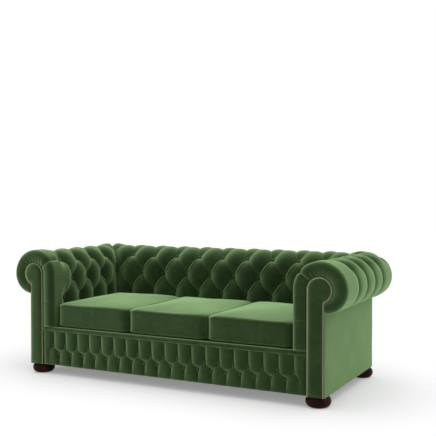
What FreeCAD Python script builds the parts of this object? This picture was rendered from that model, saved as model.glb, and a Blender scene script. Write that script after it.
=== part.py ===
"""A three seat chesterfield sofa: beech frame, sprung seat, deep buttoned arms and back, loose seat cushions.

Everything is in millimetres. +X is to the right as seen from the front, the sofa faces -Y, and +Z is up.
The origin is on the floor under the middle of the sofa. Depths are measured back from the plane of the arm facings.
The section of an arm or of the back is drawn in two coordinates: s, outwards from the centre line of its roll, and z.
"""
import FreeCAD, Part
import Sketcher
import math
import os
from FreeCAD import Rotation, Vector

doc = FreeCAD.newDocument("ChesterfieldSofa")
sheet = doc.addObject("Spreadsheet::Sheet", "Sizes")
UP = Vector(0, 0, 1)
RIGHT = Vector(1, 0, 0)
BACK = Vector(0, 1, 0)
aliases = []
parts = []


class Size:
    """A length that keeps both its number and the sheet formula it comes from."""

    def __init__(self, value, formula):
        self.value = float(value)
        self.formula = formula

    def __add__(self, other):
        return Size(float(self) + float(other), f"({self.formula} + {formula_of(other)})")

    def __sub__(self, other):
        return Size(float(self) - float(other), f"({self.formula} - {formula_of(other)})")

    def __mul__(self, other):
        return Size(float(self) * float(other), f"({self.formula} * {formula_of(other)})")

    def __truediv__(self, other):
        return Size(float(self) / float(other), f"({self.formula} / {formula_of(other)})")

    def __rsub__(self, other):
        return Size(float(other) - float(self), f"({formula_of(other)} - {self.formula})")

    def __neg__(self):
        return 0 - self

    def __float__(self):
        return self.value

    __radd__ = __add__
    __rmul__ = __mul__


def formula_of(size):
    """The sheet formula of a Size, or a plain number as text."""
    return size.formula if isinstance(size, Size) else repr(float(size))


def driving(alias, value, meaning):
    """Writes one driving dimension into the sheet and returns it as a Size."""
    aliases.append(alias)
    row = len(aliases)
    sheet.set(f"A{row}", meaning)
    sheet.set(f"B{row}", str(value))
    sheet.setAlias(f"B{row}", alias)
    return Size(value, f"Sizes.{alias}")


# Sizes of the overall form
overall_width = driving("overall_width", 2100, "over both arm rolls")
overall_depth = driving("overall_depth", 973, "front of the arm rolls to the back of the back roll")
overall_height = driving("overall_height", 740, "floor to the top of the rolls")
base_clearance = driving("base_clearance", 57, "floor to the underside, the height of a foot")
roll_radius = driving("roll_radius", 145, "outer radius of the arm and back rolls")
panel_s = driving("panel_reach", 25, "outside panels beyond the middle of the roll above them")
front_bulge = driving("front_bulge", 10, "how far the arm padding stands in front of the facings")
front_rounding = driving("front_rounding", 26, "rounded front edge of the arm padding")

# Frame timber
panel_thickness = driving("panel_thickness", 6, "covered outside panels")
frame_thickness = driving("frame_thickness", 69, "posts and top rails, across the arm or back")
front_post_depth = driving("front_post_depth", 60, "front posts, front to back")
rail_thickness = driving("rail_thickness", 30, "seat rails")
rail_height = driving("rail_height", 165, "seat rails")
top_rail_height = driving("top_rail_height", 45, "arm and back top rails")
tack_rail_height = driving("tack_rail_height", 40, "tacking rails above the seat deck")
upright_width = driving("upright_width", 60, "back uprights and seat stretchers")
upright_thickness = driving("upright_thickness", 25, "back uprights")
upright_spaces = driving("upright_spaces", 2, "spring spaces from the middle to an upright or stretcher")
stretcher_height = driving("stretcher_height", 80, "seat stretchers")
block_leg = driving("block_leg", 60, "legs of the glued corner blocks")
block_height = driving("block_height", 90, "glued corner blocks")
dowel_radius = driving("dowel_radius", 5, "beech dowels")
dowel_length = driving("dowel_length", 60, "beech dowels")
dowel_spread = driving("dowel_spread", 14, "each of a pair of dowels from the middle of its joint")
dowel_low = driving("dowel_low", 70, "lower dowels of a seat rail above its underside")
dowel_high = driving("dowel_high", 135, "upper dowels of a seat rail above its underside")
timber_lift = driving("timber_lift", 3, "foot plate thickness, which lifts the timber off the underside")

# Facings and nails
scroll_radius = driving("scroll_radius", 68, "round top of a facing")
facing_thickness = driving("facing_thickness", 12, "padded facing")
scroll_board_thickness = driving("scroll_board_thickness", 18, "plywood scroll board behind the facing")
nail_pitch = driving("nail_pitch", 10, "spacing of the upholstery nails")
nail_head_radius = driving("nail_head_radius", 4.8, "upholstery nail heads")
nail_inset = driving("nail_inset", 5, "nail line to the facing edge")
nail_shank_radius = driving("nail_shank_radius", 1, "upholstery nail shanks")
nail_length = driving("nail_length", 20, "upholstery nail shanks")

# Seat
rail_setback = driving("rail_setback", 35, "front rail behind the facing plane")
lip_height = driving("lip_height", 27, "rounded lip over the border")
border_setback = driving("border_setback", 5, "crests of the border behind the facing plane")
deck_height = driving("deck_height", 285, "floor to the top of the seat deck")
cloth_thickness = driving("cloth_thickness", 2, "hessian, platform cloth and linings")
dust_cloth_thickness = driving("dust_cloth_thickness", 1, "black cloth under the frame")
spring_count = driving("spring_count", 12, "serpentine springs")
spring_bars = driving("spring_bars", 25, "cross bars of one spring")
spring_width = driving("spring_width", 50, "over the turns of a spring")
spring_wire_radius = driving("spring_wire_radius", 2, "spring wire")
clip_wall = driving("clip_wall", 0.6, "steel over and under the wire in a spring clip")

# Cushions
cushion_count = driving("cushion_count", 3, "loose seat cushions")
cushion_side = driving("cushion_side", 133, "height of a cushion at its edges")
cushion_crown = driving("cushion_crown", 35, "rise of a cushion in the middle")
cushion_setback = driving("cushion_setback", 34, "cushion fronts behind the facing plane")
cushion_gap = driving("cushion_gap", 3, "between cushions")
cushion_clearance = driving("cushion_clearance", 6, "cushions to the arms and back")
seat_clearance = driving("seat_clearance", 0.3, "between soft pieces that lie on each other")
core_inset = driving("core_inset", 24, "wadding between the foam core and the cover")
cushion_draw = driving("cushion_draw", 6, "how far the seams draw in between a cushion's corners")
cushion_swell = driving("cushion_swell", 8, "how far a cushion's front and back swell past their seams")

# Buttoning
tuft_depth = driving("tuft_depth", 14, "button dimples")
tuft_radius = driving("tuft_radius", 18, "button dimples")
pleat_radius = driving("pleat_radius", 8, "pleats between buttons")
pleat_depth = driving("pleat_depth", 6, "pleats between buttons")
pleat_step = driving("pleat_step", 70, "longest straight stretch of a pleat over the roll")
button_radius = driving("button_radius", 10, "covered buttons")
button_height = driving("button_height", 5, "covered buttons")
back_tufts = driving("back_tufts", 9, "buttons in the lowest row of the back")
arm_tufts = driving("arm_tufts", 4, "buttons in the lowest row of an arm")
arm_tuft_start = driving("arm_tuft_start", 148, "first arm button behind the facing plane")
border_tufts = driving("border_tufts", 19, "buttons in the upper row of the border")
border_end = driving("border_end", 71.7, "last upper button of the border to the end of the border")
border_upper_row = driving("border_upper_row", 118, "upper border buttons above the underside")
border_lower_row = driving("border_lower_row", 73, "lower border buttons above the underside")
border_pleat_radius = driving("border_pleat_radius", 6.5, "border pleats")
border_dimple_radius = driving("border_dimple_radius", 13, "border button dimples")
lower_row = driving("lower_row", 145, "lowest buttons below the centre of the roll")
middle_row = driving("middle_row", 34, "middle buttons below the centre of the roll")

# Feet
foot_base_radius = driving("foot_base_radius", 42, "flat underside of a bun foot")
foot_neck_radius = driving("foot_neck_radius", 50, "top of a bun foot")
foot_curve_radius = driving("foot_curve_radius", 31, "rounded side of a bun foot")
foot_inset = driving("foot_inset", 25, "foot centres outside the inner faces of the posts")
back_foot_inset = driving("back_foot_inset", 33, "back foot centres behind the inner faces of the posts")
stud_radius = driving("stud_radius", 4, "threaded foot studs")
stud_depth = driving("stud_depth", 40, "stud above the foot plate")
stud_bite = driving("stud_bite", 35, "stud below the foot plate")
bore_clearance = driving("bore_clearance", 0.1, "studs, dowels and boards in their holes")
plate_size = driving("plate_size", 56, "steel foot plates")
screw_radius = driving("screw_radius", 2, "foot plate screws")
screw_length = driving("screw_length", 22, "foot plate screws")
screw_inset = driving("screw_inset", 8, "screws from the edges of a foot plate")

# Planes and centre lines that several pieces share
facing_plane = front_bulge - overall_depth / 2
roll_x = overall_width / 2 - roll_radius
roll_y = overall_depth / 2 - roll_radius
roll_z = overall_height - roll_radius
roll_overhang = roll_radius - panel_s
frame_out_s = panel_s - panel_thickness
frame_in_s = frame_out_s - frame_thickness
lining_s = frame_in_s - cloth_thickness
timber_z = base_clearance + timber_lift
rail_top_z = timber_z + rail_height
top_rail_z = roll_z + top_rail_height
facing_in_x = roll_x - scroll_radius
facing_width = scroll_radius + panel_s
panel_x = roll_x + panel_s
frame_out_x = roll_x + frame_out_s
frame_in_x = roll_x + frame_in_s
frame_out_y = roll_y + frame_out_s
frame_in_y = roll_y + frame_in_s
panel_y = roll_y + panel_s
board_y = facing_plane + facing_thickness
post_y = board_y + scroll_board_thickness
post_back_y = post_y + front_post_depth
front_rail_y = facing_plane + rail_setback
front_rail_back_y = front_rail_y + rail_thickness
lip_z = deck_height - lip_height
border_height = lip_z - base_clearance
seat_x = roll_x - roll_radius
seat_back_y = roll_y - roll_radius
lining_x = roll_x + lining_s
lining_y = roll_y + lining_s
clip_height = 2 * (spring_wire_radius + clip_wall)
upright_place = 2 * frame_in_x * upright_spaces / spring_count
zero = Size(0, "0")


def bind(obj, sizes):
    """Ties properties of an object to the sheet. sizes maps a property to the Size or number it takes."""
    for name, size in sizes.items():
        obj.setExpression(name, formula_of(size))
    return obj


def place(obj, x=0, y=0, z=0):
    """Ties the position of an object to the sheet."""
    return bind(obj, {"Placement.Base.x": x, "Placement.Base.y": y, "Placement.Base.z": z})


def keep(label, obj):
    """Names a finished sub-part, which is then written to its own file."""
    obj.Label = label
    parts.append((label, obj))
    return obj


def block(name, x0, x1, y0, y1, z0, z1):
    """A rectangular piece between three pairs of planes."""
    box = doc.addObject("Part::Box", name)
    bind(box, {"Length": x1 - x0, "Width": y1 - y0, "Height": z1 - z0})
    return place(box, x0, y0, z0)


def cut(name, base, tool):
    """A piece with another taken out of it."""
    made = doc.addObject("Part::Cut", name)
    made.Base = base
    made.Tool = tool
    return made


def join(name, first, second):
    """Two shapes made one."""
    made = doc.addObject("Part::Fuse", name)
    made.Base = first
    made.Tool = second
    return made


def group(name, members):
    """Identical pieces kept together as one node of separate solids."""
    made = doc.addObject("Part::Compound", name)
    made.Links = members
    return made


def mirrored(label, source):
    """The left hand copy of a right hand piece."""
    made = doc.addObject("Part::Mirroring", label)
    made.Source = source
    made.Normal = RIGHT
    return keep(label, made)


def feature(name, shape):
    """A piece whose shape is worked out here, from the sheet's own values."""
    made = doc.addObject("Part::Feature", name)
    made.Shape = shape
    return made


def both_sides(name, source):
    """Keeps a right hand piece and its left hand copy."""
    keep("right_" + name, source)
    return mirrored("left_" + name, source)


def sketched_outline(sketch, corners, arcs):
    """Draws a closed outline through corners, as (x, y) Sizes. arcs maps a corner's number to (radius, middle point)
    where the edge that leaves that corner is an arc. Every corner and radius is tied to the sheet."""
    count = len(corners)
    spots = [Vector(float(x), float(y), 0) for x, y in corners]
    for i in range(count):
        start, end = spots[i], spots[(i + 1) % count]
        if i in arcs:
            middle = Vector(float(arcs[i][1][0]), float(arcs[i][1][1]), 0)
            sketch.addGeometry(Part.Arc(start, middle, end))
        else:
            sketch.addGeometry(Part.LineSegment(start, end))
    ends = []
    for i in range(count):
        a = sketch.Geometry[i].StartPoint
        forward = (a - spots[i]).Length < 1e-6
        ends.append((1, 2) if forward else (2, 1))
    for i in range(count):
        after = (i + 1) % count
        sketch.addConstraint(Sketcher.Constraint("Coincident", i, ends[i][1], after, ends[after][0]))
    for i, corner in enumerate(corners):
        for kind, axis, along in (("DistanceX", -2, corner[0]), ("DistanceY", -1, corner[1])):
            if abs(float(along)) < 1e-9:
                sketch.addConstraint(Sketcher.Constraint("PointOnObject", i, ends[i][0], axis))
                continue
            added = sketch.addConstraint(Sketcher.Constraint(kind, -1, 1, i, ends[i][0], float(along)))
            sketch.renameConstraint(added, f"{kind}{i}")
            bind(sketch, {f"Constraints.{kind}{i}": along})
    for i, (radius, _) in arcs.items():
        added = sketch.addConstraint(Sketcher.Constraint("Radius", i, float(radius)))
        sketch.renameConstraint(added, f"Radius{i}")
        bind(sketch, {f"Constraints.Radius{i}": radius})


def body_with_sketch(name, plane):
    """A body and a sketch on one of its own origin planes."""
    body = doc.addObject("PartDesign::Body", name)
    sketch = body.newObject("Sketcher::SketchObject", name + "_outline")
    support = [f for f in body.Origin.OriginFeatures if f.Role == plane][0]
    sketch.AttachmentSupport = (support, [""])
    sketch.MapMode = "FlatFace"
    return body, sketch


# Dowelled joints: each joint is a point on the face where two timbers meet, and the way its dowels run
tack_z = deck_height + cloth_thickness + seat_clearance
upright_front_y = frame_out_y - upright_thickness


def dowel_places():
    """(middle, direction) of every dowel, worked out from the faces where the timbers meet. Those that enter a post
    from two sides pass over and under each other."""
    half_rail, apart = float(rail_thickness) / 2, float(dowel_radius) * 1.6
    low, high = float(timber_z + dowel_low), float(timber_z + dowel_high)
    top = float(top_rail_z - top_rail_height / 2)
    tack = float(tack_z + tack_rail_height / 2)
    side = float(dowel_spread)
    found = []
    for hand in (-1, 1):
        inner = hand * float(frame_in_x)
        mid_x = hand * float((frame_in_x + frame_out_x) / 2)
        outer_rail_x = hand * (float(frame_out_x) - half_rail)
        tack_x = hand * (float(frame_in_x) + half_rail)
        for z in (low, high):
            found.append((Vector(inner, float(front_rail_y) + half_rail, z), RIGHT))
            found.append((Vector(inner, float(frame_out_y) - half_rail, z), RIGHT))
            for y in (float(post_back_y), float(frame_in_y)):
                found.append((Vector(outer_rail_x, y, z), BACK))
        for offset in (-side, side):
            found.append((Vector(inner, float((frame_in_y + frame_out_y) / 2) + offset, top + apart), RIGHT))
            for y in (float(post_back_y), float(frame_in_y)):
                found.append((Vector(mid_x + offset, y, top - apart), BACK))
        found.append((Vector(inner, float(frame_in_y) + half_rail, tack + apart), RIGHT))
        for y in (float(post_back_y), float(frame_in_y)):
            found.append((Vector(tack_x, y, tack - apart), BACK))
        place_x = hand * float(upright_place)
        upright_y = float(upright_front_y + upright_thickness / 2)
        stretcher_z = float(timber_z + stretcher_height / 2)
        for offset in (-side, side):
            for z in (float(rail_top_z), float(roll_z)):
                found.append((Vector(place_x + offset, upright_y, z), UP))
            for y in (float(front_rail_back_y), float(frame_out_y - rail_thickness)):
                found.append((Vector(place_x + offset, y, stretcher_z), BACK))
    return found


def dowels(radius, length):
    """One cylinder for every dowel place."""
    return Part.makeCompound([
        Part.makeCylinder(radius, length, middle - way * (length / 2), way) for middle, way in dowel_places()
    ])


dowel_holes = feature("dowel_holes", dowels(float(dowel_radius + bore_clearance), float(dowel_length) + 1))
keep("frame_dowels", feature("frame_dowels", dowels(float(dowel_radius), float(dowel_length))))


def timber(name, *planes):
    """A rectangular timber bored for its dowels."""
    return cut(name + "_bored", block(name + "_blank", *planes), dowel_holes)


# Seat frame of four rails and two stretchers
keep("front_seat_rail", timber(
    "front_seat_rail", -frame_in_x, frame_in_x, front_rail_y, front_rail_back_y, timber_z, rail_top_z))
keep("back_seat_rail", timber(
    "back_seat_rail", -frame_in_x, frame_in_x, frame_out_y - rail_thickness, frame_out_y, timber_z, rail_top_z))
both_sides("side_seat_rail", timber(
    "side_seat_rail", frame_out_x - rail_thickness, frame_out_x, post_back_y, frame_in_y, timber_z, rail_top_z))
stretchers = [
    timber(f"stretcher_{i}", centre - upright_width / 2, centre + upright_width / 2, front_rail_back_y,
           frame_out_y - rail_thickness, timber_z, timber_z + stretcher_height)
    for i, centre in enumerate((-upright_place, upright_place))
]
keep("seat_stretchers", group("stretchers", stretchers))


# Posts, each bored from below for a foot stud
foot_x = frame_in_x + foot_inset
front_foot_y = post_y + front_post_depth / 2
back_foot_y = frame_in_y + back_foot_inset


def post(name, y0, y1, foot_y):
    """A corner post with its dowel holes and the clearance hole of its foot stud."""
    drill = doc.addObject("Part::Cylinder", name + "_stud_hole")
    bind(drill, {"Radius": stud_radius + bore_clearance, "Height": stud_depth + 5})
    place(drill, foot_x, foot_y, timber_z - 1)
    blank = timber(name, frame_in_x, frame_out_x, y0, y1, timber_z, top_rail_z)
    return cut(name + "_drilled", blank, drill)


both_sides("front_post", post("front_post", post_y, post_back_y, front_foot_y))
both_sides("back_post", post("back_post", frame_in_y, frame_out_y, back_foot_y))

# Top rails, tacking rails and back uprights
both_sides("arm_top_rail", timber(
    "arm_top_rail", frame_in_x, frame_out_x, post_back_y, frame_in_y, roll_z, top_rail_z))
keep("back_top_rail", timber(
    "back_top_rail", -frame_in_x, frame_in_x, frame_in_y, frame_out_y, roll_z, top_rail_z))
tack_top_z = tack_z + tack_rail_height
both_sides("arm_tack_rail", timber(
    "arm_tack_rail", frame_in_x, frame_in_x + rail_thickness, post_back_y, frame_in_y, tack_z, tack_top_z))
keep("back_tack_rail", timber(
    "back_tack_rail", -frame_in_x, frame_in_x, frame_in_y, upright_front_y, tack_z, tack_top_z))
uprights = [
    timber(f"upright_{i}", centre - upright_width / 2, centre + upright_width / 2, upright_front_y, frame_out_y,
           rail_top_z, roll_z)
    for i, centre in enumerate((-upright_place, upright_place))
]
keep("back_uprights", group("uprights", uprights))


def corner_block(rail_face_y, way):
    """A glued three-cornered block between a rail and the right post. way is 1 behind the rail and -1 before it."""
    x, y, leg = float(frame_in_x), float(rail_face_y), float(block_leg)
    outline = [Vector(x, y, 0), Vector(x - leg, y, 0), Vector(x, y + way * leg, 0), Vector(x, y, 0)]
    wedge = Part.Face(Part.makePolygon(outline)).extrude(UP * float(block_height))
    wedge.translate(UP * float(timber_z))
    return wedge


right_blocks = [corner_block(front_rail_back_y, 1), corner_block(frame_out_y - rail_thickness, -1)]
left_blocks = [wedge.mirror(Vector(0, 0, 0), RIGHT) for wedge in right_blocks]
keep("corner_blocks", feature("corner_block_set", Part.makeCompound(right_blocks + left_blocks)))


# Scroll boards and facings share one outline: an upright whose round top rolls outwards
def scroll_body(name, thickness):
    """The facing outline, drawn from its lower inner corner and given a thickness towards the back."""
    body, sketch = body_with_sketch(name, "XZ_Plane")
    tall = roll_z - base_clearance
    drop = math.sqrt(float(scroll_radius) ** 2 - float(panel_x - roll_x) ** 2)
    meets = Size(float(tall) - drop,
                 f"({tall.formula} - sqrt(pow({scroll_radius.formula}; 2) - pow({panel_s.formula}; 2)))")
    corners = [(facing_width, zero), (facing_width, meets), (zero, tall), (zero, zero)]
    sketched_outline(sketch, corners, {1: (scroll_radius, (scroll_radius, tall + scroll_radius))})
    pad = body.newObject("PartDesign::Pad", name + "_pad")
    pad.Profile = sketch
    pad.Reversed = True
    bind(pad, {"Length": thickness})
    body.Tip = pad
    return body


scroll_board = scroll_body("scroll_board", scroll_board_thickness)
place(scroll_board, facing_in_x, board_y, base_clearance)
both_sides("scroll_board", scroll_board)
facing = scroll_body("facing", facing_thickness)
place(facing, facing_in_x, facing_plane, base_clearance)
both_sides("facing", facing)


def nail_line():
    """Middle of every nail head: up the inner edge, round the scroll and down the outer edge."""
    inset, pitch = float(nail_inset), float(nail_pitch)
    radius = float(scroll_radius) - inset
    bottom, centre = float(base_clearance) + inset, (float(roll_x), float(roll_z))
    outer_x = float(panel_x) - inset
    meets = math.asin((outer_x - centre[0]) / radius)
    sweep = math.pi * 1.5 - meets
    rise = centre[1] - bottom
    arc = radius * sweep
    fall = centre[1] - radius * math.cos(meets) - bottom
    total = rise + arc + fall
    count = round(total / pitch)
    for i in range(count + 1):
        run = total * i / count
        if run < rise:
            yield centre[0] - radius, bottom + run
        elif run < rise + arc:
            turn = math.pi - (run - rise) / radius
            yield centre[0] + radius * math.cos(turn), centre[1] + radius * math.sin(turn)
        else:
            yield outer_x, bottom + total - run


def nails():
    """Domed nails whose heads lie on the facing and whose shanks go through it into the scroll board."""
    flatness = 32
    ball = float(nail_head_radius) / math.cos(math.radians(flatness))
    sink = ball * math.sin(math.radians(flatness))
    dome = Part.makeSphere(ball, Vector(0, sink, 0), -BACK, flatness, 90, 360)
    pin = Part.makeCylinder(float(nail_shank_radius), float(nail_length), Vector(0, 0, 0), BACK)
    nail = dome.fuse(pin)
    made = []
    for x, z in nail_line():
        one = nail.copy()
        one.translate(Vector(x, float(facing_plane), z))
        made.append(one)
    return Part.makeCompound(made)


both_sides("facing_nails", feature("facing_nails_right", nails()))


# The padded section: an upright seat face, the roll over the top and the turn under it
def roll_point(run):
    """(s, z, outward s, outward z) of the cover at a distance along it from where the seat face meets the roll."""
    radius, under, z = float(roll_radius), float(roll_overhang), float(roll_z)
    if run <= 0:
        return -radius, z + run, -1.0, 0.0
    turn = run / radius
    if turn <= math.pi:
        return -radius * math.cos(turn), z + radius * math.sin(turn), -math.cos(turn), math.sin(turn)
    turn = (run - math.pi * radius) / under
    return float(panel_s) + under * math.cos(turn), z - under * math.sin(turn), math.cos(turn), -math.sin(turn)


def section_halves(origin, outward):
    """The two faces of the padded section, inside and outside the centre line of the roll."""
    radius, under, z = float(roll_radius), float(roll_overhang), float(roll_z)
    lining, frame_out, panel = float(lining_s), float(frame_out_s), float(panel_s)
    foot, inside = float(deck_height), float(top_rail_z)
    slant = math.sqrt(0.5)

    def at(s, height):
        return origin + outward * s + UP * height

    def face(*edges):
        shapes = [Part.LineSegment(at(*e[0]), at(*e[1])) if len(e) == 2 else Part.Arc(*[at(*p) for p in e])
                  for e in edges]
        return Part.Face(Part.Wire([shape.toShape() for shape in shapes]))

    top, bottom = (0, z + radius), (0, z - under)
    frame_room = face(
        ((lining, foot), (lining, inside)),
        ((lining, inside), (frame_out, inside)),
        ((frame_out, inside), (frame_out, foot)),
        ((frame_out, foot), (lining, foot)))
    seat_side = face(
        ((lining, foot), (-radius, foot)),
        ((-radius, foot), (-radius, z)),
        ((-radius, z), (-radius * slant, z + radius * slant), top),
        (top, bottom),
        (bottom, (lining, z - under)),
        ((lining, z - under), (lining, foot)))
    out_side = face(
        (bottom, top),
        (top, (radius * slant, z + radius * slant), (radius, z)),
        ((radius, z), (panel + under * slant, z - under * slant), (panel, z - under)),
        ((panel, z - under), bottom))
    return seat_side.cut(frame_room).Faces[0], out_side.cut(frame_room).Faces[0]


def mitre(corner, along):
    """A wedge that trims a seat side where an arm meets the back. along points from the middle to the corner."""
    reach = float(roll_radius) * 2
    inward = Vector(-along.x, -along.y, 0)
    other = BACK if along.y == 0 else RIGHT * math.copysign(1, corner.x)
    outline = Part.makePolygon([
        corner, corner - other * reach, corner - other * reach + inward * reach, corner])
    return Part.Face(outline).extrude(UP * float(overall_height))


def post_room(hand):
    """The space inside the corner of the padding that a back post fills."""
    lining, out = float(lining_s), float(frame_out_s)
    side = out - lining
    x = float(roll_x) + lining if hand > 0 else -float(roll_x) - out
    low = float(deck_height) - 10
    return Part.makeBox(side, side, float(top_rail_z) - low, Vector(x, float(roll_y) + lining, low))


def pleat(spot, start, end):
    """Cutters for one pleat, from one (along, run) place on the cover to another, in short straight stretches."""
    flat = max(start[1], end[1]) <= 0
    steps = 1 if flat else math.ceil(abs(end[1] - start[1]) / float(pleat_step))
    lift, radius = float(pleat_radius - pleat_depth), float(pleat_radius)
    along = [start[0] + (end[0] - start[0]) * i / steps for i in range(steps + 1)]
    runs = [start[1] + (end[1] - start[1]) * i / steps for i in range(steps + 1)]
    points = [spot(along[i], runs[i], lift)[0] for i in range(steps + 1)]
    return [Part.makeCylinder(radius, (b - a).Length, a, b - a) for a, b in zip(points, points[1:])]


def spot_on(origin, outward, along):
    """A function that turns (along, run, lift) into a point above the cover and the direction out of it."""
    def spot(distance, run, lift):
        s, z, out_s, out_z = roll_point(run)
        normal = outward * out_s + UP * out_z
        return origin + along * distance + outward * s + UP * z + normal * lift, normal
    return spot


def tuft_rows():
    """Distance along the cover of the four button rows, from the lowest on the seat side to the one over the roll."""
    radius = float(roll_radius)
    return [-float(lower_row), -float(middle_row), radius * math.radians(45), radius * math.radians(133)]


def button_drop(radius):
    """How far below the centre of a round dimple the back of a button rests on its sides."""
    return math.sqrt(radius ** 2 - float(button_radius) ** 2) - float(seat_clearance)


def corner_tufts(hand):
    """The valley buttons where the back meets an arm: the centre of each dimple and the way its button faces."""
    found = []
    for run in tuft_rows()[1:3]:
        s, z, out_s, out_z = roll_point(run)
        way = Vector(hand * out_s, out_s, out_z).normalize()
        valley = Vector(hand * (float(roll_x) + s), float(roll_y) + s, z)
        found.append((valley + way * float(tuft_radius - tuft_depth), way))
    return found


def buttoned(pad, spot, full, half, valleys):
    """Cuts the buttoning into a pad, and returns it with the place of each button and the way it faces. full and half
    are the places along the rows, row about. valleys are the ends of the pad that meet another in a valley."""
    rows, radius = tuft_rows(), float(tuft_radius)
    sink = float(tuft_radius - tuft_depth)
    widest = full[1] - full[0]
    dimples, pleats, buttons = [], [], []
    for row, run in enumerate(rows):
        for along in (full if row % 2 == 0 else half):
            if row == 1 and along in valleys:
                continue
            dimples.append(Part.makeSphere(radius, spot(along, run, sink)[0]))
            buttons.append(spot(along, run, sink - button_drop(radius)))
    for row in (0, 1, 2):
        here, above = (full, half) if row % 2 == 0 else (half, full)
        near = [(a, b) for a in here for b in above if abs(a - b) < widest]
        for a, b in near:
            pleats += pleat(spot, (a, rows[row]), (b, rows[row + 1]))
    seat = float(deck_height - roll_z)
    under = math.pi * float(roll_radius) + math.radians(80) * float(roll_overhang)
    for along in full:
        pleats += pleat(spot, (along, seat), (along, rows[0]))
    for along in half:
        pleats += pleat(spot, (along, rows[3]), (along, under))
    return pad.cut(dimples).cut(pleats), buttons


def covered_buttons(places):
    """Round covered buttons at the bottom of their dimples, facing out of the cover."""
    blank = Part.makeCylinder(float(button_radius), float(button_height))
    rim = [edge for edge in blank.Edges if abs(edge.BoundBox.ZMin - float(button_height)) < 1e-6]
    blank = blank.makeFillet(float(button_height) * 0.6, rim[:1])
    made = []
    for centre, normal in places:
        one = blank.copy()
        one.Placement = FreeCAD.Placement(centre, Rotation(UP, normal))
        made.append(one)
    return Part.makeCompound(made)


def facing_room():
    """The space in the front of the right arm padding that the facing and the scroll board fill."""
    room, low = float(seat_clearance), float(base_clearance)
    radius, z = float(scroll_radius) + room, float(roll_z)
    front = float(facing_plane - 2 * front_bulge)
    deep = float(post_y) - front
    disc = Part.makeCylinder(radius, deep, Vector(float(roll_x), front, z), BACK)
    upright = Part.makeBox(
        float(facing_width) + 2 * room, deep, z - low, Vector(float(facing_in_x) - room, front, low))
    return disc.fuse(upright)


def arm_pad():
    """The right arm's padding with its cover, from the rounded front to the mitre in the back corner."""
    start = float(facing_plane - front_bulge)
    origin = Vector(float(roll_x), start, 0)
    corner = Vector(float(roll_x), float(roll_y), 0)
    seat_side, out_side = section_halves(origin, RIGHT)
    length = float(roll_y) - start
    straight = seat_side.extrude(BACK * length).cut(mitre(corner, BACK))
    straight = straight.fuse(out_side.extrude(BACK * length)).removeSplitter()
    front_edges = [
        edge for edge in straight.Edges if edge.BoundBox.YMax < start + 1
        and (edge.BoundBox.ZMax > float(top_rail_z) + 1 or edge.BoundBox.XMax < float(seat_x) + 1)]
    straight = straight.makeFillet(float(front_rounding), front_edges)
    turned = section_halves(corner, RIGHT)[1].revolve(corner, UP, 45)
    whole = straight.fuse(turned).cut([post_room(1), facing_room()]).removeSplitter()
    whole = whole.cut([Part.makeSphere(float(tuft_radius), centre) for centre, _ in corner_tufts(1)])
    spot = spot_on(Vector(float(roll_x), float(facing_plane), 0), RIGHT, BACK)
    count, first = round(float(arm_tufts)), float(arm_tuft_start)
    pitch = (float(seat_back_y - facing_plane) - first) / (count - 0.5)
    full = [first + pitch * i for i in range(count)]
    half = [along + pitch / 2 for along in full]
    return buttoned(whole, spot, full, half, half[-1:])


def back_pad():
    """The back's padding with its cover, between the mitres in the two corners."""
    reach = float(roll_x)
    left, right = Vector(-reach, float(roll_y), 0), Vector(reach, float(roll_y), 0)
    seat_side, out_side = section_halves(left, BACK)
    straight = seat_side.extrude(RIGHT * 2 * reach).cut([mitre(left, -RIGHT), mitre(right, RIGHT)])
    turned_right = section_halves(right, BACK)[1].revolve(right, UP, -45)
    turned_left = section_halves(left, BACK)[1].revolve(left, UP, 45)
    whole = straight.fuse([out_side.extrude(RIGHT * 2 * reach), turned_left, turned_right])
    whole = whole.cut([post_room(1), post_room(-1)]).removeSplitter()
    corners = corner_tufts(1) + corner_tufts(-1)
    whole = whole.cut([Part.makeSphere(float(tuft_radius), centre) for centre, _ in corners])
    spot = spot_on(Vector(0, float(roll_y), 0), BACK, RIGHT)
    count = round(float(back_tufts))
    pitch = 2 * float(seat_x) / count
    full = [pitch * (i - (count - 1) / 2) for i in range(count)]
    half = [pitch * (i - count / 2) for i in range(count + 1)]
    pad, buttons = buttoned(whole, spot, full, half, (half[0], half[-1]))
    drop = button_drop(float(tuft_radius))
    return pad, buttons + [(centre - way * drop, way) for centre, way in corners]


arm_shape, arm_button_places = arm_pad()
both_sides("arm_pad", feature("arm_padding", arm_shape))
both_sides("arm_buttons", feature("arm_button_set", covered_buttons(arm_button_places)))
back_shape, back_button_places = back_pad()
keep("back_pad", feature("back_padding", back_shape))
keep("back_buttons", feature("back_button_set", covered_buttons(back_button_places)))


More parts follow.
